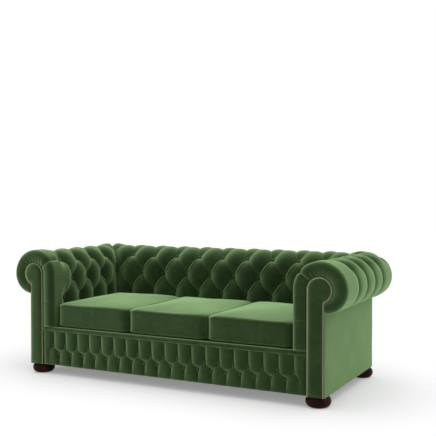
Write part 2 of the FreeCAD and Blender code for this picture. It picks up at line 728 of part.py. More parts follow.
def border():
    """The buttoned border on the front rail: two rows of buttons, with upright pleats above and below them."""
    half_width, tall = float(facing_in_x - seat_clearance), float(border_height)
    front, low = float(facing_plane + border_setback), float(base_clearance)
    pad = Part.makeBox(2 * half_width, float(rail_setback - border_setback), tall, Vector(-half_width, front, low))
    count = round(float(border_tufts))
    pitch = 2 * (half_width - float(border_end)) / (count - 1)
    high_z, low_z = low + float(border_upper_row), low + float(border_lower_row)
    upper = [pitch * (i - (count - 1) / 2) for i in range(count)]
    lower = [x + pitch / 2 for x in upper[:-1]]
    radius, lift, ball = float(border_pleat_radius), float(border_pleat_radius) * 0.4, float(border_dimple_radius)
    lines = [((x, high_z), (x, low + tall + radius)) for x in upper]
    lines += [((x, low_z), (x, low - radius)) for x in lower]
    lines += [((x, low_z), (x + side * pitch / 2, high_z)) for x in lower for side in (-1, 1)]
    cutters = []
    for start, end in lines:
        a, b = [Vector(x, front - lift, z) for x, z in (start, end)]
        cutters.append(Part.makeCylinder(radius, (b - a).Length, a, b - a))
    places = [(x, high_z) for x in upper] + [(x, low_z) for x in lower]
    cutters += [Part.makeSphere(ball, Vector(x, front, z)) for x, z in places]
    return pad.cut(cutters), [(Vector(x, front + button_drop(ball), z), -BACK) for x, z in places]


border_shape, border_button_places = border()
keep("front_border", feature("border_padding", border_shape))
keep("border_buttons", feature("border_button_set", covered_buttons(border_button_places)))

# The lip over the border, a rounded roll that closes the front edge of the seat deck
lip_end = facing_in_x - seat_clearance
deck_front_y = front_rail_y
lip_half = lip_height / 2
lip_nose = doc.addObject("Part::Cylinder", "seat_lip_nose")
lip_nose.Placement.Rotation = Rotation(BACK, 90)
bind(lip_nose, {"Radius": lip_half, "Height": 2 * lip_end})
place(lip_nose, -lip_end, facing_plane + lip_half, lip_z + lip_half)
lip_back = block("seat_lip_back", -lip_end, lip_end, facing_plane + lip_half, deck_front_y, lip_z, deck_height)
keep("seat_lip", join("seat_lip_whole", lip_back, lip_nose))

# Seat suspension: flat serpentine springs held in clips on the front and back rails
spring_start_y = front_rail_y + rail_thickness / 2
spring_end_y = frame_out_y - rail_thickness / 2
spring_z = rail_top_z + clip_height / 2


def serpentine():
    """One spring lying flat: cross bars joined at alternate sides by half turns. Returns it and its bar length."""
    bars = round(float(spring_bars))
    step = float(spring_end_y - spring_start_y) / (bars - 1)
    turn = step / 2
    reach, y, z = float(spring_width) / 2 - turn, float(spring_start_y), float(spring_z)
    side, edges = 1, []
    for i in range(bars):
        edges.append(Part.LineSegment(Vector(-side * reach, y, z), Vector(side * reach, y, z)))
        if i < bars - 1:
            near, far = Vector(side * reach, y, z), Vector(side * reach, y + step, z)
            edges.append(Part.Arc(near, Vector(side * (reach + turn), y + turn, z), far))
        side, y = -side, y + step
    path = Part.Wire([edge.toShape() for edge in edges])
    ring = Part.Wire([Part.makeCircle(float(spring_wire_radius), Vector(-reach, float(spring_start_y), z), RIGHT)])
    return path.makePipeShell([ring], True, False), 2 * reach


def spring_places():
    """Where the springs run, evenly spaced across the seat."""
    count, half_seat = round(float(spring_count)), float(frame_in_x)
    return [half_seat * (2 * i + 1 - count) / count for i in range(count)]


def across_the_seat(shape):
    """A copy of a spring or clip at each spring's place."""
    copies = []
    for x in spring_places():
        one = shape.copy()
        one.translate(RIGHT * x)
        copies.append(one)
    return Part.makeCompound(copies)


def clip(y, wide):
    """A folded steel clip over one end bar of a spring."""
    deep, tall = float(rail_thickness) * 0.6, float(clip_height)
    shell = Part.makeBox(wide, deep, tall, Vector(-wide / 2, y - deep / 2, float(rail_top_z)))
    radius = float(spring_wire_radius + bore_clearance)
    return shell.cut(Part.makeCylinder(radius, 2 * wide, Vector(-wide, y, float(spring_z)), RIGHT))


spring, bar_length = serpentine()
keep("seat_springs", feature("spring_rows", across_the_seat(spring)))
clips = [clip(float(y), bar_length * 0.8) for y in (spring_start_y, spring_end_y)]
keep("spring_clips", feature("clip_rows", across_the_seat(Part.makeCompound(clips))))

# Deck: hessian over the springs, a stuffed pad and the platform cloth that the cushions lie on
hessian_z = rail_top_z + clip_height
deck_pad_z = hessian_z + cloth_thickness
platform_z = deck_height - cloth_thickness
deck_sides = (-lining_x, lining_x, deck_front_y, lining_y)
keep("spring_hessian", block("hessian", *deck_sides, hessian_z, deck_pad_z))
keep("seat_deck_pad", block("deck_stuffing", *deck_sides, deck_pad_z, platform_z))
keep("platform_cloth", block("platform", *deck_sides, platform_z, deck_height))

# Hessian linings stretched over the insides of the arm and back frames, behind the padding
both_sides("arm_lining", block(
    "arm_hessian", lining_x, frame_in_x, post_y, lining_y, deck_height, top_rail_z))
keep("back_lining", block(
    "back_hessian", -frame_in_x, frame_in_x, lining_y, frame_in_y, deck_height, top_rail_z))

# Covered outside panels, up to the turned-under edge of the roll
roll_foot_z = roll_z - roll_overhang
both_sides("side_panel", block(
    "side_board", frame_out_x, panel_x, post_y, panel_y, base_clearance, roll_foot_z))
keep("back_panel", block(
    "back_board", -frame_out_x, frame_out_x, frame_out_y, panel_y, base_clearance, roll_foot_z))


# Loose seat cushions: a foam core in a wadded cover with a crowned top and drawn-in sides
cushion_room = 2 * (seat_x - cushion_clearance)
cushion_width = (cushion_room - (cushion_count - 1) * cushion_gap) / cushion_count
cushion_front_y = facing_plane + cushion_setback - cushion_swell
cushion_depth = seat_back_y - cushion_clearance - cushion_front_y
cushion_z = deck_height + seat_clearance


def cushion_section(share):
    """The outline of a cushion front to back, at a share from -1 to 1 of its half width."""
    x = share * float(cushion_width) / 2
    tall, swell = float(cushion_side), float(cushion_swell)
    inset = swell + float(cushion_draw) * (1 - share ** 2)
    rise = float(cushion_crown) * (1 - 0.75 * abs(share) ** 3)
    front, back = inset, float(cushion_depth) - inset
    low = [Vector(x, front, 0), Vector(x, back, 0)]
    high = [Vector(x, back, tall), Vector(x, front, tall)]
    back_swell = Vector(x, back + swell, tall / 2)
    front_swell = Vector(x, front - swell, tall / 2)
    crown = Vector(x, (front + back) / 2, tall + rise)
    edges = [
        Part.LineSegment(low[0], low[1]), Part.Arc(low[1], back_swell, high[0]),
        Part.Arc(high[0], crown, high[1]), Part.Arc(high[1], front_swell, low[0])]
    return Part.Wire([edge.toShape() for edge in edges])


def cushion():
    """(cover, core) of one cushion, with the middle of its front bottom edge at the origin."""
    outside = Part.makeLoft([cushion_section(i / 4) for i in range(-4, 5)], True, False)
    rim = float(core_inset)
    wide, deep, tall = float(cushion_width) - 2 * rim, float(cushion_depth) - 2 * rim, float(cushion_side) - rim
    core = Part.makeBox(wide, deep, tall, Vector(-wide / 2, rim, rim / 2))
    return outside.cut(core), core


def cushion_names(count):
    """Names of the cushions from left to right."""
    return {3: ["left", "centre", "right"]}.get(count, [f"number_{i + 1}" for i in range(count)])


cover_shape, core_shape = cushion()
total = round(float(cushion_count))
for i, side in enumerate(cushion_names(total)):
    x = (i - (total - 1) / 2) * (cushion_width + cushion_gap)
    for kind, shape in (("cover", cover_shape), ("core", core_shape)):
        piece = feature(f"{side}_cushion_{kind}_form", shape)
        keep(f"{side}_cushion_{kind}", place(piece, x, cushion_front_y, cushion_z))

# Feet: turned buns on threaded studs that screw into steel plates under the posts
foot_body, foot_sketch = body_with_sketch("bun_foot", "XZ_Plane")
foot_outline = [
    (zero, zero), (foot_base_radius, zero), (foot_neck_radius, base_clearance), (zero, base_clearance)]
foot_middle = (foot_base_radius + foot_neck_radius + foot_curve_radius) / 2
sketched_outline(foot_sketch, foot_outline, {1: (foot_curve_radius, (foot_middle, base_clearance / 2))})
turning = foot_body.newObject("PartDesign::Revolution", "bun_foot_turning")
turning.Profile = foot_sketch
turning.ReferenceAxis = (foot_sketch, ["V_Axis"])
turning.Angle = 360
foot_body.Tip = turning
stud_z = base_clearance - stud_bite
stud_bore = doc.addObject("Part::Cylinder", "stud_bore")
bind(stud_bore, {"Radius": stud_radius + bore_clearance, "Height": stud_bite + timber_lift + 1})
place(stud_bore, z=stud_z)
foot = cut("bored_bun_foot", foot_body, stud_bore)
stud = doc.addObject("Part::Cylinder", "foot_stud")
bind(stud, {"Radius": stud_radius, "Height": stud_bite + timber_lift + stud_depth})
place(stud, z=stud_z)
screw_place = plate_size / 2 - screw_inset
corners = [(screw_place * i, screw_place * j) for i in (-1, 1) for j in (-1, 1)]
screws = []
for i, (x, y) in enumerate(corners):
    screw = doc.addObject("Part::Cylinder", f"plate_screw_{i}")
    bind(screw, {"Radius": screw_radius, "Height": screw_length})
    screws.append(place(screw, x, y, base_clearance))
screw_set = group("plate_screw_set", screws)
plate_blank = block("foot_plate_blank", -plate_size / 2, plate_size / 2, -plate_size / 2, plate_size / 2,
                    base_clearance, timber_z)
foot_plate = cut("foot_plate_drilled", cut("foot_plate_bored", plate_blank, stud_bore), screw_set)


def at_each_foot(name, source):
    """A copy of a piece at every foot, as a dictionary from the foot's name to the copy."""
    copies = {}
    for side, x in (("left", -foot_x), ("right", foot_x)):
        for end, y in (("front", front_foot_y), ("back", back_foot_y)):
            copy = doc.addObject("Part::Compound", f"{name}_{end}_{side}")
            copy.Links = [source]
            copies[f"{end}_{side}"] = place(copy, x, y)
    return copies


for spot_name, copy in at_each_foot("bun", foot).items():
    keep(f"foot_{spot_name}", copy)
keep("foot_studs", group("stud_set", list(at_each_foot("stud", stud).values())))
keep("foot_plates", group("plate_set", list(at_each_foot("plate", foot_plate).values())))
keep("foot_plate_screws", group("screw_set", list(at_each_foot("screws", screw_set).values())))

# Black cloth tacked under the frame, cut out round the foot plates
plate_room = block("plate_room", -plate_size / 2 - 1, plate_size / 2 + 1, -plate_size / 2 - 1, plate_size / 2 + 1,
                   base_clearance, timber_z)
rooms = group("plate_rooms", list(at_each_foot("plate_room", plate_room).values()))
dust_blank = block("dust_cloth", -frame_out_x, frame_out_x, front_rail_y, frame_out_y,
                   timber_z - dust_cloth_thickness, timber_z)
keep("dust_cover", cut("dust_cloth_cut_out", dust_blank, rooms))

doc.recompute()
for checked in doc.Objects:
    if "Invalid" in checked.State or "Error" in checked.State:
        raise RuntimeError(f"{checked.Name} did not build: {checked.State}")
for label, obj in parts:
    if obj.Shape.isNull() or not obj.Shape.isValid() or obj.Shape.Volume <= 0:
        raise RuntimeError(f"{label} has no sound shape")
os.makedirs("parts", exist_ok=True)
for label, obj in parts:
    obj.Shape.exportStep(f"parts/{label}.step")
print(f"{len(parts)} sub-parts written")
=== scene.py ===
import math

import bpy
import numpy as np
from mathutils import Euler, Matrix, Vector
from mathutils.bvhtree import BVHTree


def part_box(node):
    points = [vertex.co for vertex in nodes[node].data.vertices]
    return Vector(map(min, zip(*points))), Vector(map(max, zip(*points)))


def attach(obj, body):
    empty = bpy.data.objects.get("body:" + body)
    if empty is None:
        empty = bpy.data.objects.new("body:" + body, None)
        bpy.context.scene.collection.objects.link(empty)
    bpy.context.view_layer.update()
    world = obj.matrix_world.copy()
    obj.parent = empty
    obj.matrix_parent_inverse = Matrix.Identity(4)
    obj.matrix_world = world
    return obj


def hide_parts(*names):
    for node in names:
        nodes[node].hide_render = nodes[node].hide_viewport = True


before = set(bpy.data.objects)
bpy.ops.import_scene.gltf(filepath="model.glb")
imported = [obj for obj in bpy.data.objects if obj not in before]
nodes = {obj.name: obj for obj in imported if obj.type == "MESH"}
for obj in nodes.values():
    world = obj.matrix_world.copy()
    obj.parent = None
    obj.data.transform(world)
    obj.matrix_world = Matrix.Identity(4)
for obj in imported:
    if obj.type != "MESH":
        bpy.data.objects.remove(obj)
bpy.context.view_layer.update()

# Beech frame: seat rails, posts, top and tacking rails, uprights and stretchers, dowelled and glued, with
# three-cornered blocks in the corners. Planed and left unfinished, because covers hide it all.
BEECH_PALE = (214, 184, 143)
BEECH_DARK = (178, 139, 98)
GRAIN_STRETCH = 14
GRAIN_RINGS = 55


def shade(red, green, blue):
    """The linear colour of one written as it looks, from 0 to 255, by the sRGB curve."""

    def linear(level):
        share = level / 255
        return share / 12.92 if level < 11 else ((share + 0.055) / 1.055) ** 2.4

    return linear(red), linear(green), linear(blue), 1


class Strand:
    """A number, colour or vector that varies over a surface. Sums of numbers add the nodes for them."""

    def __init__(self, nodes_of, socket):
        self.nodes_of, self.socket = nodes_of, socket

    def __add__(self, other):
        return self.nodes_of.maths("ADD", self, other)

    def __sub__(self, other):
        return self.nodes_of.maths("SUBTRACT", self, other)

    def __rsub__(self, other):
        return self.nodes_of.maths("SUBTRACT", other, self)

    def __mul__(self, other):
        return self.nodes_of.maths("MULTIPLY", self, other)

    __radd__ = __add__
    __rmul__ = __mul__


class NodeTree:
    """The nodes of a material or of the world."""

    def __init__(self, tree):
        self.tree = tree

    def node(self, kind, settings=None, inputs=None, output=0):
        """Adds a node with its settings and inputs, by name or number, and returns one of its outputs."""
        made = self.tree.nodes.new("ShaderNode" + kind)
        for name, value in (settings or {}).items():
            setattr(made, name, value)
        for name, value in (inputs or {}).items():
            self.feed(made.inputs[name], value)
        return Strand(self, made.outputs[output])

    def feed(self, socket, value):
        if isinstance(value, Strand):
            self.tree.links.new(value.socket, socket)
        else:
            socket.default_value = value

    def maths(self, operation, first, second):
        return self.node("Math", {"operation": operation}, {0: first, 1: second})


class Finish(NodeTree):
    """A material: a shader with its fixed values on its sockets, and the nodes that vary the rest."""

    def __init__(self, name, fixed):
        self.material = bpy.data.materials.new(name)
        self.material.use_nodes = True
        super().__init__(self.material.node_tree)
        self.shader = self.tree.nodes["Principled BSDF"]
        for socket, value in fixed.items():
            self.shader.inputs[socket].default_value = value
        self.place = self.node("TexCoord", output="Object")

    def mix(self, share, low, high):
        """A colour from low to high as share goes from 0 to 1."""
        return self.node("Mix", {"data_type": "RGBA"}, {0: share, 6: low, 7: high}, 2)

    def noise(self, scale, detail=2.0, place=None):
        place = place or self.place
        return self.node("TexNoise", {}, {"Vector": place, "Scale": scale, "Detail": detail}, "Fac")

    def stretched(self, scale):
        """The place on the piece, stretched by the three numbers of scale."""
        return self.node("Mapping", {}, {"Vector": self.place, "Scale": scale})

    def spread(self, strand, low, high):
        """A strand between low and high, made to run from 0 to 1."""
        return self.node("MapRange", {}, {"Value": strand, "From Min": low, "From Max": high})

    def bump(self, height, depth, under=None):
        """A bump of a depth in metres, over another bump if there is one under it."""
        inputs = {"Strength": 1.0, "Distance": depth, "Height": height}
        if under:
            inputs["Normal"] = under
        return self.node("Bump", {}, inputs)

    def wear(self, **strands):
        """Feeds the shader's inputs, named in small letters, and returns the material."""
        for name, value in strands.items():
            self.feed(self.shader.inputs[name.replace("_", " ").title()], value)
        return self.material

    def blend(self, share, other):
        """Shows another shader in the place of the material's own one, by a share."""
        own = Strand(self, self.shader.outputs["BSDF"])
        mixed = self.node("MixShader", {}, {0: share, 1: own, 2: other})
        self.feed(self.tree.nodes["Material Output"].inputs["Surface"], mixed)


def beech(name, way):
    """Beech with its grain along one axis: fine rays and slow, long bands."""
    finish = Finish(name, {"Specular IOR Level": 0.35})
    along = [GRAIN_STRETCH] * 3
    along["XYZ".index(way)] = 1
    bands = finish.noise(GRAIN_RINGS / GRAIN_STRETCH, 6, finish.stretched(along))
    rays = finish.noise(GRAIN_RINGS * 2, 3, finish.stretched([n * 2 - 1 for n in along]))
    tone = finish.spread(bands * 0.7 + rays * 0.3, 0.35, 0.65)
    return finish.wear(
        base_color=finish.mix(tone, shade(*BEECH_DARK), shade(*BEECH_PALE)),
        roughness=0.5 + rays * 0.2,
        normal=finish.bump(rays, 0.0004))


def dress(material, names):
    """Gives CAD pieces their material."""
    for name in names:
        nodes[name].data.materials.clear()
        nodes[name].data.materials.append(material)


dress(beech("beech_along_x", "X"), [
    "front_seat_rail", "back_seat_rail", "back_top_rail", "back_tack_rail", "frame_dowels"])
dress(beech("beech_along_y", "Y"), [
    "left_side_seat_rail", "right_side_seat_rail", "seat_stretchers", "left_arm_top_rail",
    "right_arm_top_rail", "left_arm_tack_rail", "right_arm_tack_rail"])
dress(beech("beech_along_z", "Z"), [
    "left_front_post", "right_front_post", "left_back_post", "right_back_post", "back_uprights",
    "corner_blocks"])

# Scroll boards: the plywood shapes that carry the fronts of the arms, sawn to the scroll and screwed to the
# posts. The plies show on the sawn edge.
PLY_THICKNESS = 0.003
PLY_PALE = (208, 178, 132)
PLY_DARK = (160, 122, 82)
plywood = Finish("plywood", {"Specular IOR Level": 0.3})
plies = plywood.node("TexWave", {"bands_direction": "Y"}, {
    "Vector": plywood.place, "Scale": 1 / (PLY_THICKNESS * 2 * math.pi), "Distortion": 0.4}, "Fac")
figure = plywood.noise(8, 5, plywood.stretched([9, 9, 1]))
dress(plywood.wear(
    base_color=plywood.mix(plies * 0.5 + figure * 0.5, shade(*PLY_DARK), shade(*PLY_PALE)),
    roughness=0.55 + figure * 0.2,
    normal=plywood.bump(plies, 0.0003)), ["left_scroll_board", "right_scroll_board"])

# Seat springs: serpentine wires from the back rail to the front rail, held by folded clips that are nailed to
# the rails. The wire is oiled and dark, the clips are zinc plated.
WIRE_GREY = (84, 84, 88)
WIRE_BLUE = (58, 62, 74)
ZINC_PALE = (188, 190, 194)
ZINC_DARK = (142, 146, 152)


def metal(name, dark, pale, rough, spots):
    """Bare or plated metal whose tone and polish vary a little from spot to spot."""
    finish = Finish(name, {"Metallic": 1.0})
    cloud = finish.noise(spots, 4)
    return finish.wear(
        base_color=finish.mix(finish.spread(cloud, 0.35, 0.65), shade(*dark), shade(*pale)),
        roughness=rough + cloud * 0.25,
        normal=finish.bump(finish.noise(spots * 12, 2), 0.00005))


zinc_plate = metal("zinc_plate", ZINC_DARK, ZINC_PALE, 0.3, 140)
dress(metal("oiled_wire", WIRE_BLUE, WIRE_GREY, 0.28, 60), ["seat_springs"])
dress(zinc_plate, ["spring_clips"])

# Hessian over the springs and behind the padding of the arms and back: coarse jute in a plain weave, tacked
# tight to the frame on all sides.
JUTE_PALE = (190, 164, 122)
JUTE_DARK = (128, 102, 68)
JUTE_THREAD = 0.0016
WEAVE_LIFT = 0.0004
SHEET_CELL = 0.02
SHEET_SHARE = 0.5
SEAT_SAG = -0.0004
LINING_SAG = 0.0003
CRISP_ANGLE = math.radians(40)


def woven(name, pale, dark, thread):
    """Plain woven cloth: threads both ways along the two axes of the sheet."""
    finish = Finish(name, {"Specular IOR Level": 0.15})
    waves = [
        finish.node("TexWave", {"bands_direction": way}, {
            "Vector": finish.place, "Scale": 1 / (thread * 4 * math.pi), "Distortion": 1.2, "Detail": 1.0,
            "Detail Scale": 2.0}, "Fac")
        for way in "XYZ"]
    weave = (waves[0] + waves[1] + waves[2]) * 0.33
    slub = finish.noise(60, 3)
    return finish.wear(
        base_color=finish.mix(weave * 0.6 + slub * 0.4, shade(*dark), shade(*pale)),
        roughness=0.9 - weave * 0.1,
        normal=finish.bump(weave, WEAVE_LIFT))


def select_only(piece):
    bpy.ops.object.select_all(action="DESELECT")
    piece.select_set(True)
    bpy.context.view_layer.objects.active = piece


def primitive(name, add, **sizes):
    """A new primitive, with nothing else selected. add is the operator that adds it."""
    bpy.ops.object.select_all(action="DESELECT")
    add(**sizes)
    bpy.context.object.name = name
    return bpy.context.object


def pick(piece, kind, wanted):
    """Enters edit mode with some edges or polygons selected. wanted has a yes or no for each of them."""
    select_only(piece)
    bpy.context.tool_settings.mesh_select_mode = (False, kind == "edges", kind == "polygons")
    for each in ("vertices", "edges", "polygons"):
        parts = getattr(piece.data, each)
        parts.foreach_set("select", wanted if each == kind else [False] * len(parts))
    bpy.ops.object.mode_set(mode="EDIT")


def corners(piece):
    """The places of a mesh's corners, as an array."""
    flat = np.zeros(len(piece.data.vertices) * 3, np.float32)
    piece.data.vertices.foreach_get("co", flat)
    return flat.reshape(-1, 3).astype(float)


def move_corners(piece, placed):
    piece.data.vertices.foreach_set("co", np.asarray(placed, np.float32).ravel())
    piece.data.update()


def finished_with(piece, kind, settings):
    """Adds a modifier and applies it."""
    select_only(piece)
    added = piece.modifiers.new(kind.lower(), kind)
    for name, value in settings.items():
        setattr(added, name, value)
    bpy.ops.object.modifier_apply(modifier=added.name)


def fit_out(piece, body, node, material, crisp=False):
    """Puts a finished piece in the place of a CAD piece, with its material and its shading."""
    piece.data.materials.clear()
    piece.data.materials.append(material)
    select_only(piece)
    if crisp:
        bpy.ops.object.shade_smooth_by_angle(angle=CRISP_ANGLE)
    else:
        bpy.ops.object.shade_smooth()
    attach(piece, body)
    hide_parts(node)
    return piece


def tacked_sheet(name, node, material, sag, gaps=()):
    """A sheet of cloth stretched flat in the space of a thin CAD piece, with a slight slack between its
    tacks. gaps are the (low, high) boxes that it is cut out around."""
    low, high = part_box(node)
    size = high - low
    thin = min(range(3), key=lambda i: size[i])
    wide, long = [i for i in range(3) if i != thin]
    piece = primitive(name, bpy.ops.mesh.primitive_grid_add, x_subdivisions=round(size[wide] / SHEET_CELL),
                      y_subdivisions=round(size[long] / SHEET_CELL))
    grid = corners(piece)
    placed = np.zeros_like(grid)
    across, down = grid[:, 0] / 2 + 0.5, grid[:, 1] / 2 + 0.5
    placed[:, wide] = low[wide] + across * size[wide]
    placed[:, long] = low[long] + down * size[long]
    level = (low[thin] + high[thin]) / 2
    placed[:, thin] = level + sag * np.sin(across * math.pi) * np.sin(down * math.pi)
    move_corners(piece, placed)
    cut = [any(all(a[i] < face.center[i] < b[i] for i in (wide, long)) for a, b in gaps)
           for face in piece.data.polygons]
    pick(piece, "polygons", cut)
    bpy.ops.mesh.delete(type="FACE")
    bpy.ops.object.mode_set(mode="OBJECT")
    finished_with(piece, "SOLIDIFY", {"thickness": size[thin] * SHEET_SHARE, "offset": 0.0})
    fit_out(piece, "sofa", node, material, crisp=True)


hessian = woven("hessian", JUTE_PALE, JUTE_DARK, JUTE_THREAD)
tacked_sheet("spring_hessian_sheet", "spring_hessian", hessian, SEAT_SAG)
for hand in ("left", "right"):
    tacked_sheet(f"{hand}_arm_lining_sheet", f"{hand}_arm_lining", hessian,
                 LINING_SAG)
tacked_sheet("back_lining_sheet", "back_lining", hessian, LINING_SAG)

# Seat deck: a pad of wadded felt on the hessian, and the plain cotton platform cloth that the loose cushions
# lie on, stretched over it and tacked to the rails.
FELT_PALE = (216, 208, 188)
FELT_DARK = (170, 160, 140)
PLATFORM_PALE = (66, 92, 56)
PLATFORM_DARK = (44, 64, 38)
PLATFORM_THREAD = 0.0005
PAD_EDGE = 0.012
PAD_CUTS = 9
felt = Finish("felt", {"Specular IOR Level": 0.1})
tufts = felt.noise(120, 6)
felt_cover = felt.wear(
    base_color=felt.mix(tufts, shade(*FELT_DARK), shade(*FELT_PALE)),
    roughness=0.85 + tufts * 0.15,
    normal=felt.bump(tufts, 0.002))


def block(name, low, high):
    """A plain block between two opposite corners."""
    piece = primitive(name, bpy.ops.mesh.primitive_cube_add, size=1)
    piece.data.transform(Matrix.Translation((low + high) / 2) @ Matrix.Diagonal((*(high - low), 1)))
    return piece


def soft_block(name, low, high, edge, cuts, segments=3):
    """A block with rounded edges and enough corners to be shaped."""
    piece = block(name, low, high)
    bpy.ops.object.mode_set(mode="EDIT")
    bpy.ops.mesh.select_all(action="SELECT")
    bpy.ops.mesh.bevel(offset=edge, segments=segments, affect="EDGES")
    bpy.ops.mesh.select_all(action="SELECT")
    bpy.ops.mesh.subdivide(number_cuts=cuts)
    bpy.ops.object.mode_set(mode="OBJECT")
    return piece


deck_pad = soft_block("seat_deck_stuffing", *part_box("seat_deck_pad"), PAD_EDGE, PAD_CUTS)
fit_out(deck_pad, "sofa", "seat_deck_pad", felt_cover)
tacked_sheet("platform_sheet", "platform_cloth", woven(
    "platform_cotton", PLATFORM_PALE, PLATFORM_DARK, PLATFORM_THREAD), SEAT_SAG)

# Deep-buttoned arms and back: fibre and foam under green velvet, drawn in by rows of buttons whose strings go
# through to the hessian. The cloth between two buttons is folded into a pleat, and the pleats run on straight
# below the lowest row and down the outside of the rolls.
low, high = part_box("right_arm_pad")
facing_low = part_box("right_facing")[0]
post_low, post_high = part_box("right_front_post")
ROLL = 0.145
roll_x, roll_y, roll_z = high.x - ROLL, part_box("back_pad")[1].y - ROLL, high.z - ROLL
facing_y, deck_z = facing_low.y, low.z
panel_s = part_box("right_side_panel")[1].x - roll_x
under_roll = ROLL - panel_s
scroll = roll_x - facing_low.x
roll_end = math.pi * ROLL + math.pi / 2 * under_roll
timber_s, inside_s = post_high.x - roll_x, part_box("right_arm_lining")[0].x - roll_x
ROW_RUNS = [-0.145, -0.034, ROLL * math.radians(45), ROLL * math.radians(133)]
ROWS = [0, 1, 2, 3]
STEPS = 24
OUTSIDE_ROWS = 28
TUFT_DEPTH = 0.043
CREASE = 0.54
PILLOW_ROUND = 0.8
HOLLOW = 0.45
HOLLOW_WIDTH = 0.5
FALL_ROUND = 0.3
TUCK_OFFSET = 0.0125
TUCK_WIDTH = 0.0032
TUCK_HEIGHT = 0.0045
ACROSS_PLEAT = 0.82
FRONT_REST = 0.45
MITRE_EASE = 0.055
MITRE_ROUND = 0.6
CORNER_EASE = 0.05
SEAM_Z = 0.432
SEAM_HALF = 0.0025
WELD = 0.00002
BACK_SPACES = 9
BACK_VALLEY = 4.5
BACK_PITCH = 2 * (roll_x - ROLL) / BACK_SPACES
VELVET_DEEP = (31, 45, 24)
VELVET_MID = (40, 57, 31)
VELVET_LIGHT = (52, 73, 41)
VELVET_TIPS = (150, 186, 128)
TIPS_POWER = 1.8


def velvet(name, tips=VELVET_TIPS):
    """Cotton velvet: short pile, dark where it is looked into, with the sheen of its pale tips across."""
    finish = Finish(name, {"Specular IOR Level": 0.05, "Sheen Weight": 0.2, "Sheen Roughness": 0.4,
                           "Sheen Tint": shade(*tips)})
    brushed = finish.noise(7, 3)
    lay = finish.noise(34, 4)
    pile = finish.noise(1500, 2)
    tone = finish.spread(brushed * 0.4 + lay * 0.35 + pile * 0.25, 0.26, 0.74)
    nap = finish.bump(pile, 0.0003, finish.bump(lay, 0.0008))
    rough = 0.78 + lay * 0.2
    tip_color = finish.mix(tone, shade(*[0.92 * c for c in tips]), shade(*tips))
    across = finish.node("BsdfPrincipled", {}, {
        "Base Color": tip_color, "Roughness": rough, "Specular IOR Level": 0.05, "Normal": nap})
    edge_on = finish.node("LayerWeight", {}, {"Blend": 0.5, "Normal": nap}, "Facing")
    finish.blend(finish.maths("POWER", edge_on, TIPS_POWER), across)
    lit = finish.mix(tone, shade(*VELVET_MID), shade(*VELVET_LIGHT))
    return finish.wear(
        base_color=finish.mix(tone, shade(*VELVET_DEEP), lit),
        roughness=rough,
        normal=nap)


def smooth(value, start, end):
    """0 before start, 1 after end, and an even curve between them."""
    share = np.clip((value - start) / (end - start), 0, 1)
    return share * share * (3 - 2 * share)


def turns(run):
    """How far round the roll a place on the cover is, and how far round the smaller curve under it."""
    return np.clip(run / ROLL, 0, math.pi), np.clip((run - math.pi * ROLL) / under_roll, 0, math.pi / 2)


def section(run):
    """(s, z, outward s, outward z) of the cover at a distance along it. The distance is 0 where the seat
    face meets the roll, and s is 0 in the middle of the roll."""
    turn, late = turns(run)
    rise = roll_z + ROLL * np.sin(turn) + np.minimum(run, 0)
    on_roll = [-ROLL * np.cos(turn), rise, -np.cos(turn), np.sin(turn)]
    under = [panel_s + under_roll * np.cos(late), roll_z - under_roll * np.sin(late),
             np.cos(late), -np.sin(late)]
    return [np.where(late > 0, b, a) for a, b in zip(on_roll, under)]


def facing_edge(run):
    """(s, z) on the edge of the facing that the cover is drawn in to at the front of an arm."""
    turn, late = turns(run)
    meets = math.acos(panel_s / scroll) / (math.pi / 2)
    on_scroll = [-scroll * np.cos(turn), roll_z + scroll * np.sin(turn) + np.minimum(run, 0)]
    under = [scroll * np.cos(late * meets), roll_z - scroll * np.sin(late * meets)]
    return [np.where(late > 0, b, a) for a, b in zip(on_scroll, under)]


def room_along(s):
    """Distance from the end of a roll's straight line to the mitre, at s from the line."""
    return np.where(s < 0, s, s * math.pi / 4)


def pillow(u, v, valley):
    """Height of the cover from 0 in a button's dimple to 1 on a crest. u counts buttons along the lowest
    row, v counts rows, and valley is the u of the mitre at the lowest row."""
    p, q = u + v / 2, u - v / 2
    a, b = np.abs(np.sin(math.pi * p)), np.abs(np.sin(math.pi * q))
    b = b + (1 - b) * smooth(v, 2.0, 2.4) * smooth(q, valley - 1, valley - 0.8)
    pleat = a + b - a * b
    hollow = 1 - HOLLOW * np.exp(-(a * a + b * b) / HOLLOW_WIDTH ** 2)
    return (CREASE * pleat + (1 - CREASE) * (a * b) ** PILLOW_ROUND) * hollow


def straight_share(run):
    """How deep the buttoning is: full among the buttons, and fading in the straight pleats beyond them."""
    first, last = ROW_RUNS[0], ROW_RUNS[3]
    return np.interp(run, [first - 0.12, first, last, last + 0.06, roll_end - 0.02, roll_end],
                     [0.5, 1, 1, 0.5, 0.3, 0])


def valley_height(run):
    """Height of the cover in the mitre where an arm meets the back, on the scale of pillow."""
    between = (ROW_RUNS[1] + ROW_RUNS[2]) / 2
    return np.interp(run, [*ROW_RUNS[:2], between, *ROW_RUNS[2:], roll_end - 0.02, roll_end],
                     [0.2, 0, 0.3, 0, 0.5, 0.6, 1])


